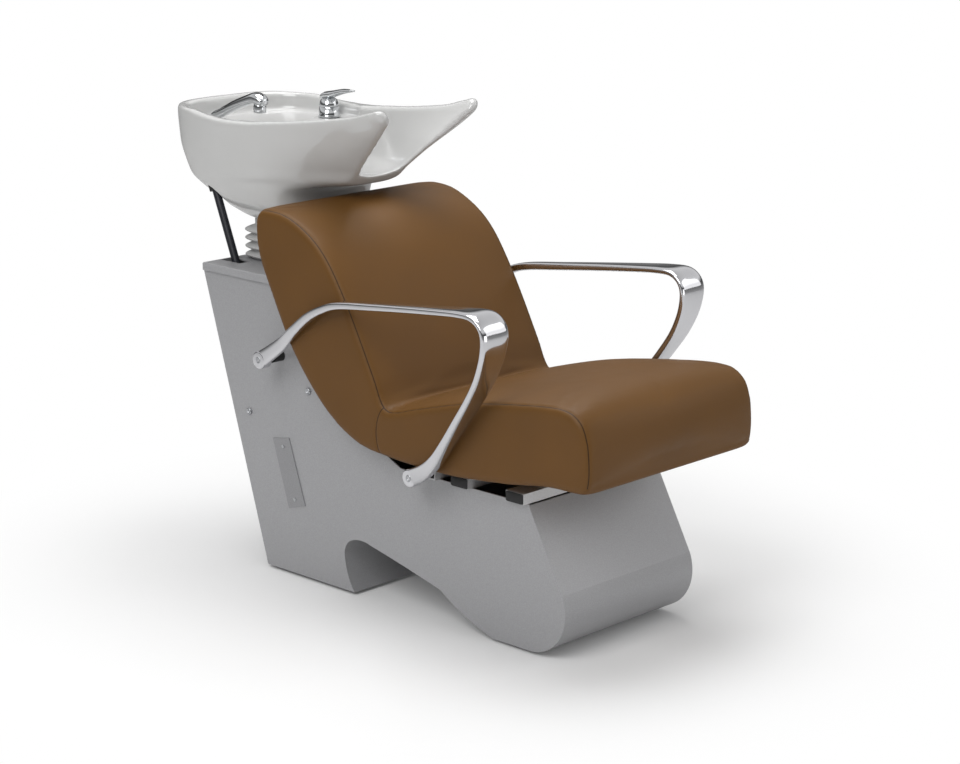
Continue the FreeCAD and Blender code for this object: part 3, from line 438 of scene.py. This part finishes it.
def baked(piece):
    """Replaces a piece's mesh by its evaluated mesh and drops its modifiers."""
    graph = bpy.context.evaluated_depsgraph_get()
    mesh = bpy.data.meshes.new_from_object(piece.evaluated_get(graph))
    piece.modifiers.clear()
    old = piece.data
    piece.data = mesh
    bpy.data.meshes.remove(old)
    mesh.polygons.foreach_set("use_smooth", np.ones(len(mesh.polygons), bool))
    return piece


def coordinates(mesh):
    """Vertex places as an array."""
    flat = np.empty(len(mesh.vertices) * 3)
    mesh.vertices.foreach_get("co", flat)
    return flat.reshape(-1, 3)


def directions(mesh):
    """Vertex normals as an array."""
    flat = np.empty(len(mesh.vertices) * 3)
    mesh.vertices.foreach_get("normal", flat)
    return flat.reshape(-1, 3)


def set_coordinates(mesh, places):
    """Writes vertex places back."""
    mesh.vertices.foreach_set("co", places.ravel())
    mesh.update()


def nearest_on(line, points):
    """Nearest place on an open polyline for every point."""
    starts, ways = line[:-1], np.diff(line, axis=0)
    along = np.einsum("psk,sk->ps", points[:, None] - starts, ways) / np.einsum("sk,sk->s", ways, ways)
    places = starts + along.clip(0, 1)[..., None] * ways
    best = np.linalg.norm(places - points[:, None], axis=2).argmin(axis=1)
    return places[np.arange(len(points)), best]


def padded_shell(name, half, sizes):
    """Closed cover of seat and back.

    The side-view loop is carried across the chair. At each share of the half width it moves along its own
    normal by the crown times its local share times one less the 4th power of the share, less the tuck times
    the 20th power of the share. Each side is closed by drawing the loop in to the spine.
    """
    scale = np.array([LENGTH, HEIGHT])
    shaped = smooth_loop(CUSHION_SHARES * np.array([LENGTH, HEIGHT, 1]), 240)
    loop, puff = shaped[:, :2], shaped[:, 2].clip(0, 1)
    step = np.roll(loop, -1, axis=0) - np.roll(loop, 1, axis=0)
    normal = np.stack([step[:, 1], -step[:, 0]], axis=1) / np.linalg.norm(step, axis=1, keepdims=True)
    normal *= np.sign(np.sum(loop[:, 0] * np.roll(loop[:, 1], -1) - loop[:, 1] * np.roll(loop[:, 0], -1)))
    across = np.sin(np.linspace(-math.pi / 2, math.pi / 2, 141))
    swell = sizes.crown * puff * (1 - across[:, None] ** 4) - sizes.tuck * np.abs(across[:, None]) ** 20
    moved = loop + normal * swell[..., None]
    x = np.broadcast_to((across * half)[:, None, None], moved.shape[:2] + (1,))
    grids = [(np.concatenate([x, moved], axis=2), True, False)]
    for sign, ring in ((-1, moved[0]), (1, moved[-1])):
        inward = np.linspace(0, 1, 14)[:, None, None]
        flat = ring + (nearest_on(SPINE_SHARES * scale, ring) - ring) * inward
        side = np.full(flat.shape[:2] + (1,), sign * half)
        grids.append((np.concatenate([side, flat], axis=2), True, False))
    return surface(name, grids)


def stuff(piece, sizes, half):
    """Remeshes a cover evenly, blows it up as cloth held at its seams and crease, and draws the seams in."""
    even = piece.modifiers.new("even", "REMESH")
    even.mode, even.voxel_size = "VOXEL", sizes.remesh
    baked(piece)
    rest = coordinates(piece.data)
    seam_x = half - sizes.seam_inset
    centre, radius = seam_arc()
    crease = CREASE_SHARES * np.array([LENGTH, HEIGHT])

    def off_seams(places):
        """Distance from the side seams, and from the gusset seam where a place is beyond them."""
        reach = np.abs(places[:, 0])
        off_arc = np.abs(np.linalg.norm(places[:, 1:] - centre, axis=1) - radius)
        on_side = (reach > seam_x) & (np.abs(places[:, 1] - GUSSET_SHARES[1, 0] * LENGTH) < GUSSET_REACH)
        off_side = np.where(places[:, 2] > SIDE_SEAM_LOW, np.abs(reach - seam_x), 1.0)
        return np.minimum(off_side, np.where(on_side, off_arc, 1.0))

    pins = piece.vertex_groups.new(name="seams")
    in_crease = np.linalg.norm(rest[:, 1:] - crease, axis=1) < CREASE_REACH
    pins.add(np.where((off_seams(rest) < sizes.remesh * 0.8) | in_crease)[0].tolist(), 1.0, "ADD")
    cloth = piece.modifiers.new("stuffing", "CLOTH")
    cloth.settings.use_pressure = True
    cloth.settings.uniform_pressure_force = STUFFING_PRESSURE
    cloth.settings.effector_weights.gravity = 0
    cloth.settings.vertex_group_mass = "seams"
    cloth.settings.quality = 4
    cloth.point_cache.frame_start, cloth.point_cache.frame_end = 1, STUFFING_FRAMES
    scene = bpy.context.scene
    for number in range(1, STUFFING_FRAMES + 1):
        scene.frame_set(number)
        bpy.context.view_layer.update()
    blown = coordinates(piece.evaluated_get(bpy.context.evaluated_depsgraph_get()).data)
    piece.modifiers.clear()
    piece.vertex_groups.clear()
    scene.frame_set(1)
    # The underside is stapled to a board, and the sides are boxed, so neither swells freely.
    loose_way, side_give = np.array([0, -0.6, 0.8]), 0.3
    loose = (directions(piece.data) @ loose_way).clip(0, 0.5) * 2
    shift = (blown - rest) * loose[:, None] * np.array([side_give, 1, 1])
    size = np.linalg.norm(shift, axis=1, keepdims=True)
    rest = rest + shift * np.minimum(1, sizes.swell / np.maximum(size, 1e-9))
    set_coordinates(piece.data, rest)
    ease = piece.modifiers.new("ease", "SMOOTH")
    ease.factor, ease.iterations = 0.5, 6
    fine = piece.modifiers.new("fine", "SUBSURF")
    fine.levels = fine.render_levels = 1
    baked(piece)
    places = coordinates(piece.data)
    groove = sizes.seam_depth * np.exp(-(off_seams(places) / GROOVE_WIDTH) ** 2)
    set_coordinates(piece.data, places - directions(piece.data) * groove[:, None])
    return piece


class CHAIR_OT_padding(bpy.types.Operator):
    """Seat and back under one leatherette cover, stuffed as cloth and sewn along its sides."""
    bl_idname = "chair.padding"
    bl_label = "Padding"

    def execute(self, context):
        make_finishes(context)
        sizes = context.scene.chair_sizes
        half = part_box("back_cushion")[1][0]
        piece = stuff(padded_shell("padding_cover", half, sizes), sizes, half)
        dress(piece, "leatherette", "brown_leather", "base", "seat_cushion", "back_cushion")
        return {"FINISHED"}


def oval_ring(count, power):
    """Unit superellipse with the given power, as cos and sin columns."""
    angle = np.linspace(0, 2 * math.pi, count, endpoint=False)
    c, s = np.cos(angle), np.sin(angle)
    return np.sign(c) * np.abs(c) ** (2 / power), np.sign(s) * np.abs(s) ** (2 / power)


def carried(line, half_x, half_n, power, count=36):
    """Closed bar along a line.

    At each point the section is a superellipse of the given power, half_x wide to each side along X and
    half_n thick to each side along the line's normal in the plane of Y and Z. Both ends close on the line.
    """
    along = np.gradient(line, axis=0) * np.array([0, 1, 1])
    along /= np.linalg.norm(along, axis=1, keepdims=True)
    through = np.cross(along, [1.0, 0, 0])
    c, s = oval_ring(count, power)
    ring = (line[:, None] + np.array([1.0, 0, 0]) * (half_x[:, None] * c)[..., None]
            + through[:, None] * (half_n[:, None] * s)[..., None])
    first, last = (np.broadcast_to(end, (1, count, 3)) for end in (line[0], line[-1]))
    return np.concatenate([first, ring, last])


def inlay(name, line, half_x, half_n, share):
    """Thin strip in the back of a bar, as wide as the given share of it and drawn to a point at each end."""
    along = np.gradient(line, axis=0)
    along /= np.linalg.norm(along, axis=1, keepdims=True)
    lift = np.cross([1.0, 0, 0], along)
    lift *= np.sign(lift[len(lift) // 2, 2])
    taper = np.sin(math.pi * np.linspace(0.02, 0.98, len(line))) ** 0.45
    half_strip = 0.0024
    raised = line + lift * (half_n[:, None] - half_strip / 2)
    strip = carried(raised, half_x * share * taper, np.full(len(line), half_strip), 2.4)
    return surface(name, [(strip, True, False)])


def turned(profile, count=48):
    """Surface of revolution about X: the profile's (station, radius) rows turned through a full circle."""
    angle = np.linspace(0, 2 * math.pi, count, endpoint=False)
    x = np.broadcast_to(profile[:, :1], (len(profile), count))
    return np.stack([x, profile[:, 1:] * np.cos(angle), profile[:, 1:] * np.sin(angle)], axis=2)


def rounded_disc(x0, x1, radius, corner):
    """Profile of a disc from x0 to x1 with rounded rims, closed on its axis."""
    turn = np.linspace(0, math.pi / 2, 7)
    way = math.copysign(1, x1 - x0)
    inset, rim = way * corner * (1 - np.sin(turn)), radius - corner + corner * np.cos(turn)
    first = np.stack([x0 + inset, rim], axis=1)[::-1]
    last = np.stack([x1 - inset, rim], axis=1)
    return np.vstack([[x0, 0], first, last, [x1, 0]])


class CHAIR_OT_arms(bpy.types.Operator):
    """Cast bow arms: a flat oval along a bent line, broad at the front, with a round boss at each end."""
    bl_idname = "chair.arms"
    bl_label = "Arms"

    def execute(self, context):
        make_finishes(context)
        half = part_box("back_cushion")[1][0]
        boss = half - ARM_BOSS_TUCK + ARM_BOSS_LENGTH / 2
        line = smooth_line(ARM_LINE * np.array([LENGTH, HEIGHT, 1, 0.001, 0.001]), 400)
        x = boss + line[:, 2] * (half + ARM_STAND_OFF - boss)
        # Power of the oval section, stand-out of a boss's face and rounding of its rim.
        power, proud, corner = 3.4, 0.0006, 0.003
        bow = carried(np.stack([x, line[:, 0], line[:, 1]], axis=1), line[:, 3], line[:, 4], power, 96)
        outer = x[0] + line[0, 3] + proud
        pad = turned(rounded_disc(boss - ARM_BOSS_LENGTH / 2, outer, ARM_BOSS_RADIUS, corner))
        ends = line[[0, -1], :2]
        for side, node in ((-1, "arm_right"), (1, "arm_left")):
            mirrored = np.array([side, 1, 1])
            grids = [(bow * mirrored, True, False)]
            grids += [((pad + np.array([0, y, z])) * mirrored, True, False) for y, z in ends]
            dress(surface(node + "_casting", grids), "casting", "polished_aluminium", "base", node)
        return {"FINISHED"}


def eased(share):
    """Smooth step from 0 to 1."""
    share = share.clip(0, 1)
    return share ** 2 * (3 - 2 * share)


def rolled_lip(piece, sizes):
    """Leans the front lip of the two horns outwards and thickens it.

    The front edge is the least Y found in each row of height. A point's share is an eased step from 1 at
    that edge to 0 one lip width behind it, faded in by another over the lip's rise. The point moves sideways
    by the flare and along its normal by the roll, both times its share.
    """
    places = coordinates(piece.data)
    low = places[:, 2].min()
    rows = ((places[:, 2] - low) / LIP_ROW).astype(int)
    front = np.full(rows.max() + 1, np.inf)
    np.minimum.at(front, rows, places[:, 1])
    heights = low + LIP_ROW * (np.arange(len(front)) + 0.5)
    behind = places[:, 1] - np.interp(places[:, 2], heights, front)
    share = eased(1 - behind / LIP_WIDTH) * eased((places[:, 2] - LIP_LOW) / LIP_RISE)
    moved = places + directions(piece.data) * (sizes.lip_roll * share)[:, None]
    moved[:, 0] += np.sign(places[:, 0]) * sizes.lip_flare * share
    set_coordinates(piece.data, moved)
    return piece


def evened(piece, voxel, passes):
    """Adds an even remesh and the given number of relaxing passes to a piece's modifiers."""
    even = piece.modifiers.new("even", "REMESH")
    even.mode, even.voxel_size = "VOXEL", voxel
    ease = piece.modifiers.new("ease", "SMOOTH")
    ease.factor, ease.iterations = 0.5, passes
    return piece


class CHAIR_OT_basin(bpy.types.Operator):
    """Glazed basin: the ceramic form remeshed, its front lip rolled, and relaxed to round its rims."""
    bl_idname = "chair.basin"
    bl_label = "Basin"

    def execute(self, context):
        make_finishes(context)
        sizes = context.scene.chair_sizes
        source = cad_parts["basin"]
        piece = bpy.data.objects.new("basin_glazed", source.data.copy())
        context.scene.collection.objects.link(piece)
        work = bmesh.new()
        work.from_mesh(piece.data)
        bmesh.ops.remove_doubles(work, verts=work.verts, dist=MERGE_DISTANCE)
        work.to_mesh(piece.data)
        work.free()
        rolled_lip(baked(evened(piece, sizes.glaze_mesh, FIRST_PASSES)), sizes)
        evened(piece, sizes.glaze_mesh, sizes.glaze_round)
        fewer = piece.modifiers.new("fewer", "DECIMATE")
        fewer.ratio = sizes.glaze_share
        baked(piece)
        dress(piece, "glaze", "white_ceramic", "basin", "basin")
        return {"FINISHED"}


class CHAIR_OT_gaiter(bpy.types.Operator):
    """Pleated sleeve: a rounded rectangle carried up as a wave draws it in and out, narrowing to a neck."""
    bl_idname = "chair.gaiter"
    bl_label = "Gaiter"

    def execute(self, context):
        make_finishes(context)
        low, high = np.array(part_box("gaiter"))
        middle = (low + high) / 2
        half = (high - low) / 2
        share = np.linspace(0, 1, 121)
        wave = 0.5 - 0.5 * np.cos(2 * math.pi * PLEATS * share / NECK_START)
        tuck = PLEAT_TUCK * (1 - wave ** 0.7)
        settle = eased((share - NECK_START + NECK_EASE) / (2 * NECK_EASE))
        tuck = tuck * (1 - settle) + NECK_TUCK * settle
        c, s = oval_ring(144, 5.0)
        height = np.broadcast_to((low[2] + share * (high[2] - low[2]))[:, None], (len(share), len(c)))
        x = middle[0] + (half[0] - tuck)[:, None] * c
        y = middle[1] + (half[1] - tuck)[:, None] * s
        ring = np.stack([x, y, height], axis=2)
        inner = ring[::-1].copy()
        inner[..., :2] = middle[:2] + (inner[..., :2] - middle[:2]) * INNER_SHARE
        piece = surface("gaiter_sleeve", [(np.concatenate([ring, inner]), True, True)])
        dress(piece, "gaiter", "white_rubber", None, "gaiter")
        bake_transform(piece)
        return {"FINISHED"}


class CHAIR_OT_hose(bpy.types.Operator):
    """Taut shower hose from its gland under the basin down through the slot in the lid."""
    bl_idname = "chair.hose"
    bl_label = "Hose"

    def execute(self, context):
        make_finishes(context)
        low, high = np.array(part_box("shower_hose"))
        slope = math.atan2(high[1] - low[1] - 2 * HOSE_RADIUS, high[2] - low[2])
        lift = HOSE_RADIUS * math.sin(slope)
        reach = HOSE_RADIUS * math.cos(slope)
        top = np.array([(low[0] + high[0]) / 2, high[1] - reach, high[2] - lift])
        foot = np.array([top[0], low[1] + reach, low[2] + lift])
        points = top + (foot - top) * np.linspace(0, 1, 4)[:, None]
        curve = bpy.data.curves.new("shower_hose_line", "CURVE")
        curve.dimensions, curve.use_fill_caps = "3D", True
        curve.bevel_depth, curve.bevel_resolution = HOSE_RADIUS, 8
        spline = curve.splines.new("NURBS")
        spline.points.add(len(points) - 1)
        spline.points.foreach_set("co", np.hstack([points, np.ones((len(points), 1))]).ravel())
        spline.order_u, spline.use_endpoint_u, spline.resolution_u = 3, True, 12
        piece = bpy.data.objects.new("shower_hose_line", curve)
        context.scene.collection.objects.link(piece)
        curve.materials.append(FINISHES["hose"])
        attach(piece, "basin")
        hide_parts("shower_hose")
        return {"FINISHED"}


def upright(profile, count=48):
    """Surface of revolution about Z from (height, radius) rows."""
    return turned(profile, count)[..., [1, 2, 0]]


class CHAIR_OT_shower(bpy.types.Operator):
    """Hand shower: an oval handle bent over the bowl, a dark inlay in its back, a round spray head."""
    bl_idname = "chair.shower"
    bl_label = "Hand shower"

    def execute(self, context):
        make_finishes(context)
        bush_low, bush_high = np.array(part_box("shower_bush"))
        face_low, face_high = np.array(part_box("spray_face"))
        x, y0 = (bush_low[:2] + bush_high[:2]) / 2
        deck = bush_low[2]
        line = smooth_line(np.stack([np.full(len(SHOWER_LINE), x), y0 - SHOWER_LINE[:, 0],
                                     deck + SHOWER_LINE[:, 1]], axis=1), 110)
        t = np.linspace(0, 1, len(line))
        stations = [0, 0.2, 0.45, 0.75, 0.92, 0.98, 1]
        half_x = np.interp(t, stations, [0.0100, 0.0100, 0.0105, 0.0145, 0.0160, 0.0130, 0.008])
        half_n = np.interp(t, stations, [0.0100, 0.0100, 0.0088, 0.0098, 0.0120, 0.0095, 0.006])
        y1 = (face_low[1] + face_high[1]) / 2
        low, top = face_low[2], deck + SHOWER_LINE[:, 1].max()
        nozzle = np.array([(low + 0.002, 0), (low + 0.002, 0.0095), (low, 0.0105), (low, 0.012),
                           (low + 0.002, 0.0128), (low + 0.012, 0.0132), (top - 0.004, 0.0105), (top, 0)])
        piece = surface("hand_shower_body", [(carried(line, half_x, half_n, 2.3), True, False),
                                             (upright(nozzle) + np.array([x, y1, 0]), True, False)])
        dress(piece, "chrome", "chrome", "hand_shower", "hand_shower")
        back = slice(40, 104)
        dress(inlay("hand_shower_inlay", line[back], half_x[back], half_n[back], 0.72),
              "inlay", "black_plastic", "hand_shower")
        top = bush_high[2]
        ring = np.array([(deck, 0.0115), (deck, 0.0200), (deck + 0.0015, 0.0210), (deck + 0.003, 0.0200),
                         (deck + 0.005, 0.0172), (top - 0.002, 0.0165), (top, 0.0150), (top, 0.0115)])
        dress(surface("shower_bush_ring", [(upright(ring) + np.array([x, y0, 0]), True, True)]),
              "chrome", "chrome", "basin", "shower_bush")
        return {"FINISHED"}


class CHAIR_OT_mixer(bpy.types.Operator):
    """Lever mixer: flared body, domed cap and a leaf-shaped lever with a dark inlay."""
    bl_idname = "chair.mixer"
    bl_label = "Mixer"

    def execute(self, context):
        make_finishes(context)
        low, high = np.array(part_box("mixer_cap"))
        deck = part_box("shower_bush")[0][2]
        x, y = (low[:2] + high[:2]) / 2
        foot = np.array([x, y, 0])
        body = np.array([(0, 0), (0, 0.0220), (0.002, 0.0230), (0.004, 0.0224), (0.008, 0.0212),
                         (0.0215, 0.0205), (0.0218, 0)]) + np.array([deck, 0])
        dress(surface("mixer_body_shell", [(upright(body) + foot, True, False)]),
              "chrome", "chrome", "basin", "mixer_body")
        arc = np.linspace(0, math.pi / 2, 12)
        dome = np.stack([0.0228 + 0.019 * np.sin(arc), 0.0205 * np.cos(arc) ** 0.7], axis=1)
        dome = np.vstack([[0.0224, 0], [0.0224, 0.0198], dome]) + np.array([deck, 0])
        dress(surface("mixer_cap_dome", [(upright(dome) + foot, True, False)]),
              "chrome", "chrome", "mixer_cap", "mixer_cap")
        lever_low, lever_high = np.array(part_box("mixer_lever"))
        top = high[2]
        knots = np.array([(x, y + 0.019, top - 0.007), (x, y + 0.009, top - 0.001),
                          (x, y - 0.016, top + 0.004), (x, y - 0.044, top + 0.011),
                          (x, lever_low[1] + 0.002, lever_high[2] - 0.002)])
        line = smooth_line(knots, 80)
        t = np.linspace(0, 1, len(line))
        half_x = np.interp(t, [0, 0.12, 0.35, 0.7, 0.92, 1], [0.008, 0.0155, 0.0165, 0.0105, 0.0065, 0.003])
        half_n = np.interp(t, [0, 0.12, 0.35, 0.7, 1], [0.004, 0.0065, 0.0065, 0.0045, 0.0018])
        dress(surface("mixer_lever_leaf", [(carried(line, half_x, half_n, 2.4), True, False)]),
              "chrome", "chrome", "mixer_lever", "mixer_lever")
        back = slice(8, 70)
        dress(inlay("mixer_lever_inlay", line[back], half_x[back], half_n[back], 0.7),
              "inlay", "black_plastic", "mixer_lever")
        return {"FINISHED"}


class CHAIR_OT_fasteners(bpy.types.Operator):
    """Socket heads: a rounded disc with a six-sided recess, on the arm bosses and the side panels."""
    bl_idname = "chair.fasteners"
    bl_label = "Fasteners"

    def execute(self, context):
        make_finishes(context)
        angle = np.linspace(0, 2 * math.pi, 48, endpoint=False)
        hexagon = math.cos(math.pi / 6) / np.cos((angle + math.pi / 6) % (math.pi / 3) - math.pi / 6)

        def socket_head(x0, x1, radius, recess, depth):
            """Rounded disc between two stations, its outer face sunk by a hexagon."""
            profile = rounded_disc(x0, x1, radius, min(0.0015, radius * 0.3))[:-1]
            head = turned(profile)
            way = math.copysign(1, x1 - x0)
            rows = []
            for station, size in ((x1, recess), (x1 - way * depth, recess * 0.98), (x1 - way * depth, 0)):
                r = size * hexagon
                rows.append(np.stack([np.full(48, station), r * np.cos(angle), r * np.sin(angle)], axis=1))
            return np.concatenate([head, np.stack(rows)])

        for name, node, x0, x1, radius, recess, places in SCREW_HEADS:
            grids = []
            for side in (-1, 1):
                for place in places:
                    head = socket_head(x0, x1, radius, recess, RECESS_DEPTH) * np.array([side, 1, 1])
                    grids.append((head + np.array([0, place[0] * LENGTH, place[1] * HEIGHT]), True, False))
            piece = surface(name, grids)
            dress(piece, "zinc", "zinc_steel", "base", node)
        return {"FINISHED"}


class CHAIR_OT_plugs(bpy.types.Operator):
    """Rail plugs: a squared disc with a rounded face in each open end of the two seat rails."""
    bl_idname = "chair.plugs"
    bl_label = "Rail plugs"

    def execute(self, context):
        make_finishes(context)
        grids = []
        c, s = oval_ring(48, 12.0)
        for rail in ("rear_seat_rail", "front_seat_rail"):
            low, high = np.array(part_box(rail))
            middle, half = (low + high) / 2, (high - low) / 2
            for side in (-1, 1):
                rows = []
                for out, share in PLUG_ROWS:
                    x = np.full(len(c), middle[0] + side * (half[0] + out))
                    y, z = middle[1] + half[1] * share * c, middle[2] + half[2] * share * s
                    rows.append(np.stack([x, y, z], axis=1))
                grids.append((np.stack(rows), True, False))
        # The plugs' dark colour is partly the rubber's own and partly painted shade for the gap under the
        # seat.
        dress(surface("rail_plugs", grids), "black", "black_rubber", "base")
        return {"FINISHED"}


class CHAIR_OT_carried_over(bpy.types.Operator):
    """Finishes of the pieces whose modelled solids show as they are."""
    bl_idname = "chair.carried_over"
    bl_label = "Sheet and fittings"

    def execute(self, context):
        make_finishes(context)
        groups = {
            "powder": ["side_panel_right", "side_panel_left", "front_panel", "arch_panel", "rear_panel",
                       "top_plate"],
            "hatch": ["access_hatch"],
            "black_steel": ["floor_plate", "tilt_bracket", "tilt_cradle", "seat_frame"],
            "rail": ["arm_rail", "rear_seat_rail", "front_seat_rail", "seat_risers"],
            "black": ["glides", "arm_spacers", "hose_gland", "spray_face"],
            "zinc": ["seat_bolts", "hatch_screws", "tilt_pins"],
            "chrome": ["drain_strainer", "drain_tail"],
            "gaiter": ["drain_nut"]}
        for material, nodes in groups.items():
            for node in nodes:
                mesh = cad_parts[node].data
                mesh.materials.clear()
                mesh.materials.append(FINISHES[material])
        return {"FINISHED"}


def grey(value):
    """Opaque grey of the given linear value."""
    return (value, value, value, 1)


def mixed(tree, share, first, second):
    """Node that mixes two shaders by a share socket."""
    return add(tree, "ShaderNodeMixShader", {0: share, 1: first.outputs[0], 2: second.outputs[0]})


class CHAIR_OT_stage(bpy.types.Operator):
    """Pale floor, soft lamps and a camera at the photographed angle."""
    bl_idname = "chair.stage"
    bl_label = "Stage"

    def execute(self, context):
        scene = context.scene
        scene.view_settings.view_transform = "Standard"
        mesh = bpy.data.meshes.new("studio_floor")
        ways = ((-1, -1), (1, -1), (1, 1), (-1, 1))
        corners = [(x * FLOOR_REACH, y * FLOOR_REACH, -FLOOR_DROP) for x, y in ways]
        mesh.from_pydata(corners, [], [(0, 1, 2, 3)])
        floor = bpy.data.objects.new("studio_floor", mesh)
        scene.collection.objects.link(floor)
        paint = bpy.data.materials.new("white_floor_paint")
        paint.use_nodes = True
        tree = paint.node_tree
        tree.nodes.clear()
        path = add(tree, "ShaderNodeLightPath")
        where = add(tree, "ShaderNodeTexCoord").outputs["Object"]
        away = add(tree, "ShaderNodeVectorMath", {0: where, 1: SHADE_MIDDLE}, operation="DISTANCE")
        fading = {"Value": away.outputs["Value"], "From Min": SHADE_NEAR, "From Max": SHADE_FAR}
        fade = add(tree, "ShaderNodeMapRange", fading, interpolation_type="SMOOTHSTEP").outputs[0]
        matt = add(tree, "ShaderNodeBsdfDiffuse", {"Color": grey(0.82)})
        lift = add(tree, "ShaderNodeEmission", {"Color": grey(1), "Strength": 0.05})
        shade = add(tree, "ShaderNodeBsdfDiffuse", {"Color": grey(0.72)})
        near = add(tree, "ShaderNodeAddShader", {0: shade.outputs[0], 1: lift.outputs[0]})
        white = add(tree, "ShaderNodeEmission", {"Color": grey(1), "Strength": 1.0})
        shown = mixed(tree, fade, near, white)
        dim = add(tree, "ShaderNodeBsdfDiffuse", {"Color": grey(0.6)})
        unseen = mixed(tree, path.outputs["Is Glossy Ray"], matt, dim)
        seen = mixed(tree, path.outputs["Is Camera Ray"], unseen, shown)
        add(tree, "ShaderNodeOutputMaterial", {"Surface": seen.outputs[0]})
        mesh.materials.append(paint)
        world = bpy.data.worlds.new("studio")
        scene.world = world
        world.use_nodes = True
        tree = world.node_tree
        tree.nodes.clear()
        path = add(tree, "ShaderNodeLightPath")
        around = add(tree, "ShaderNodeTexCoord").outputs["Generated"]
        way = add(tree, "ShaderNodeSeparateXYZ", {"Vector": around})
        # Polished metal mirrors a dark room with a bright ceiling; matt pieces get even light.
        room = add(tree, "ShaderNodeValToRGB", {"Fac": way.outputs["Z"]})
        for place, value in ((0.25, 0.05), (0.45, 0.75)):
            room.color_ramp.elements.new(place).color = grey(value)
        room.color_ramp.elements[0].color = grey(0.22)
        room.color_ramp.elements[-1].color = grey(0.5)
        soft = add(tree, "ShaderNodeBackground", {"Color": grey(1), "Strength": 0.42})
        mirrored = add(tree, "ShaderNodeBackground", {"Color": room.outputs["Color"], "Strength": 1.0})
        white = add(tree, "ShaderNodeBackground", {"Color": grey(1), "Strength": 1.0})
        light = mixed(tree, path.outputs["Is Glossy Ray"], soft, mirrored)
        shown = mixed(tree, path.outputs["Is Camera Ray"], light, white)
        add(tree, "ShaderNodeOutputWorld", {"Surface": shown.outputs[0]})
        for name, place, aim, size, power in LAMPS:
            lamp = bpy.data.lights.new(name, "AREA")
            lamp.shape, lamp.size, lamp.energy = "SQUARE", size, power
            holder = bpy.data.objects.new(name, lamp)
            scene.collection.objects.link(holder)
            holder.location = place
            holder.rotation_euler = (Vector(aim) - Vector(place)).to_track_quat("-Z", "Y").to_euler()
        lens = bpy.data.cameras.new("photo_angle")
        lens.sensor_fit, lens.sensor_width, lens.lens = "HORIZONTAL", SENSOR_WIDTH, CAMERA_LENS
        camera = bpy.data.objects.new("photo_angle", lens)
        scene.collection.objects.link(camera)
        camera.location = CAMERA_PLACE
        camera.rotation_euler = Vector(CAMERA_SIGHT).to_track_quat("-Z", "Y").to_euler()
        scene.camera = camera
        return {"FINISHED"}


class CHAIR_PT_panel(bpy.types.Panel):
    """Sidebar panel with the sizes, the colours and one button for each group of pieces."""
    bl_idname = "CHAIR_PT_panel"
    bl_label = "Backwash chair"
    bl_space_type = "VIEW_3D"
    bl_region_type = "UI"
    bl_category = "Backwash"

    def draw(self, context):
        for settings in (context.scene.chair_sizes, context.scene.chair_colours):
            for name in settings.__annotations__:
                self.layout.prop(settings, name)
        for operator in OPERATORS:
            self.layout.operator(operator.bl_idname)


OPERATORS = (CHAIR_OT_stage, CHAIR_OT_hose, CHAIR_OT_carried_over, CHAIR_OT_padding, CHAIR_OT_arms,
             CHAIR_OT_basin, CHAIR_OT_gaiter, CHAIR_OT_shower, CHAIR_OT_mixer, CHAIR_OT_fasteners,
             CHAIR_OT_plugs)
CLASSES = (ChairSizes, ChairColours) + OPERATORS + (CHAIR_PT_panel,)


def register():
    for kind in CLASSES:
        bpy.utils.register_class(kind)
    bpy.types.Scene.chair_sizes = bpy.props.PointerProperty(type=ChairSizes)
    bpy.types.Scene.chair_colours = bpy.props.PointerProperty(type=ChairColours)


def unregister():
    del bpy.types.Scene.chair_colours
    del bpy.types.Scene.chair_sizes
    for kind in reversed(CLASSES):
        bpy.utils.unregister_class(kind)


def main():
    """Registers the classes and builds every group in order."""
    register()
    for operator in OPERATORS:
        group, name = operator.bl_idname.split(".")
        getattr(getattr(bpy.ops, group), name)()


if __name__ == "__main__":
    main()
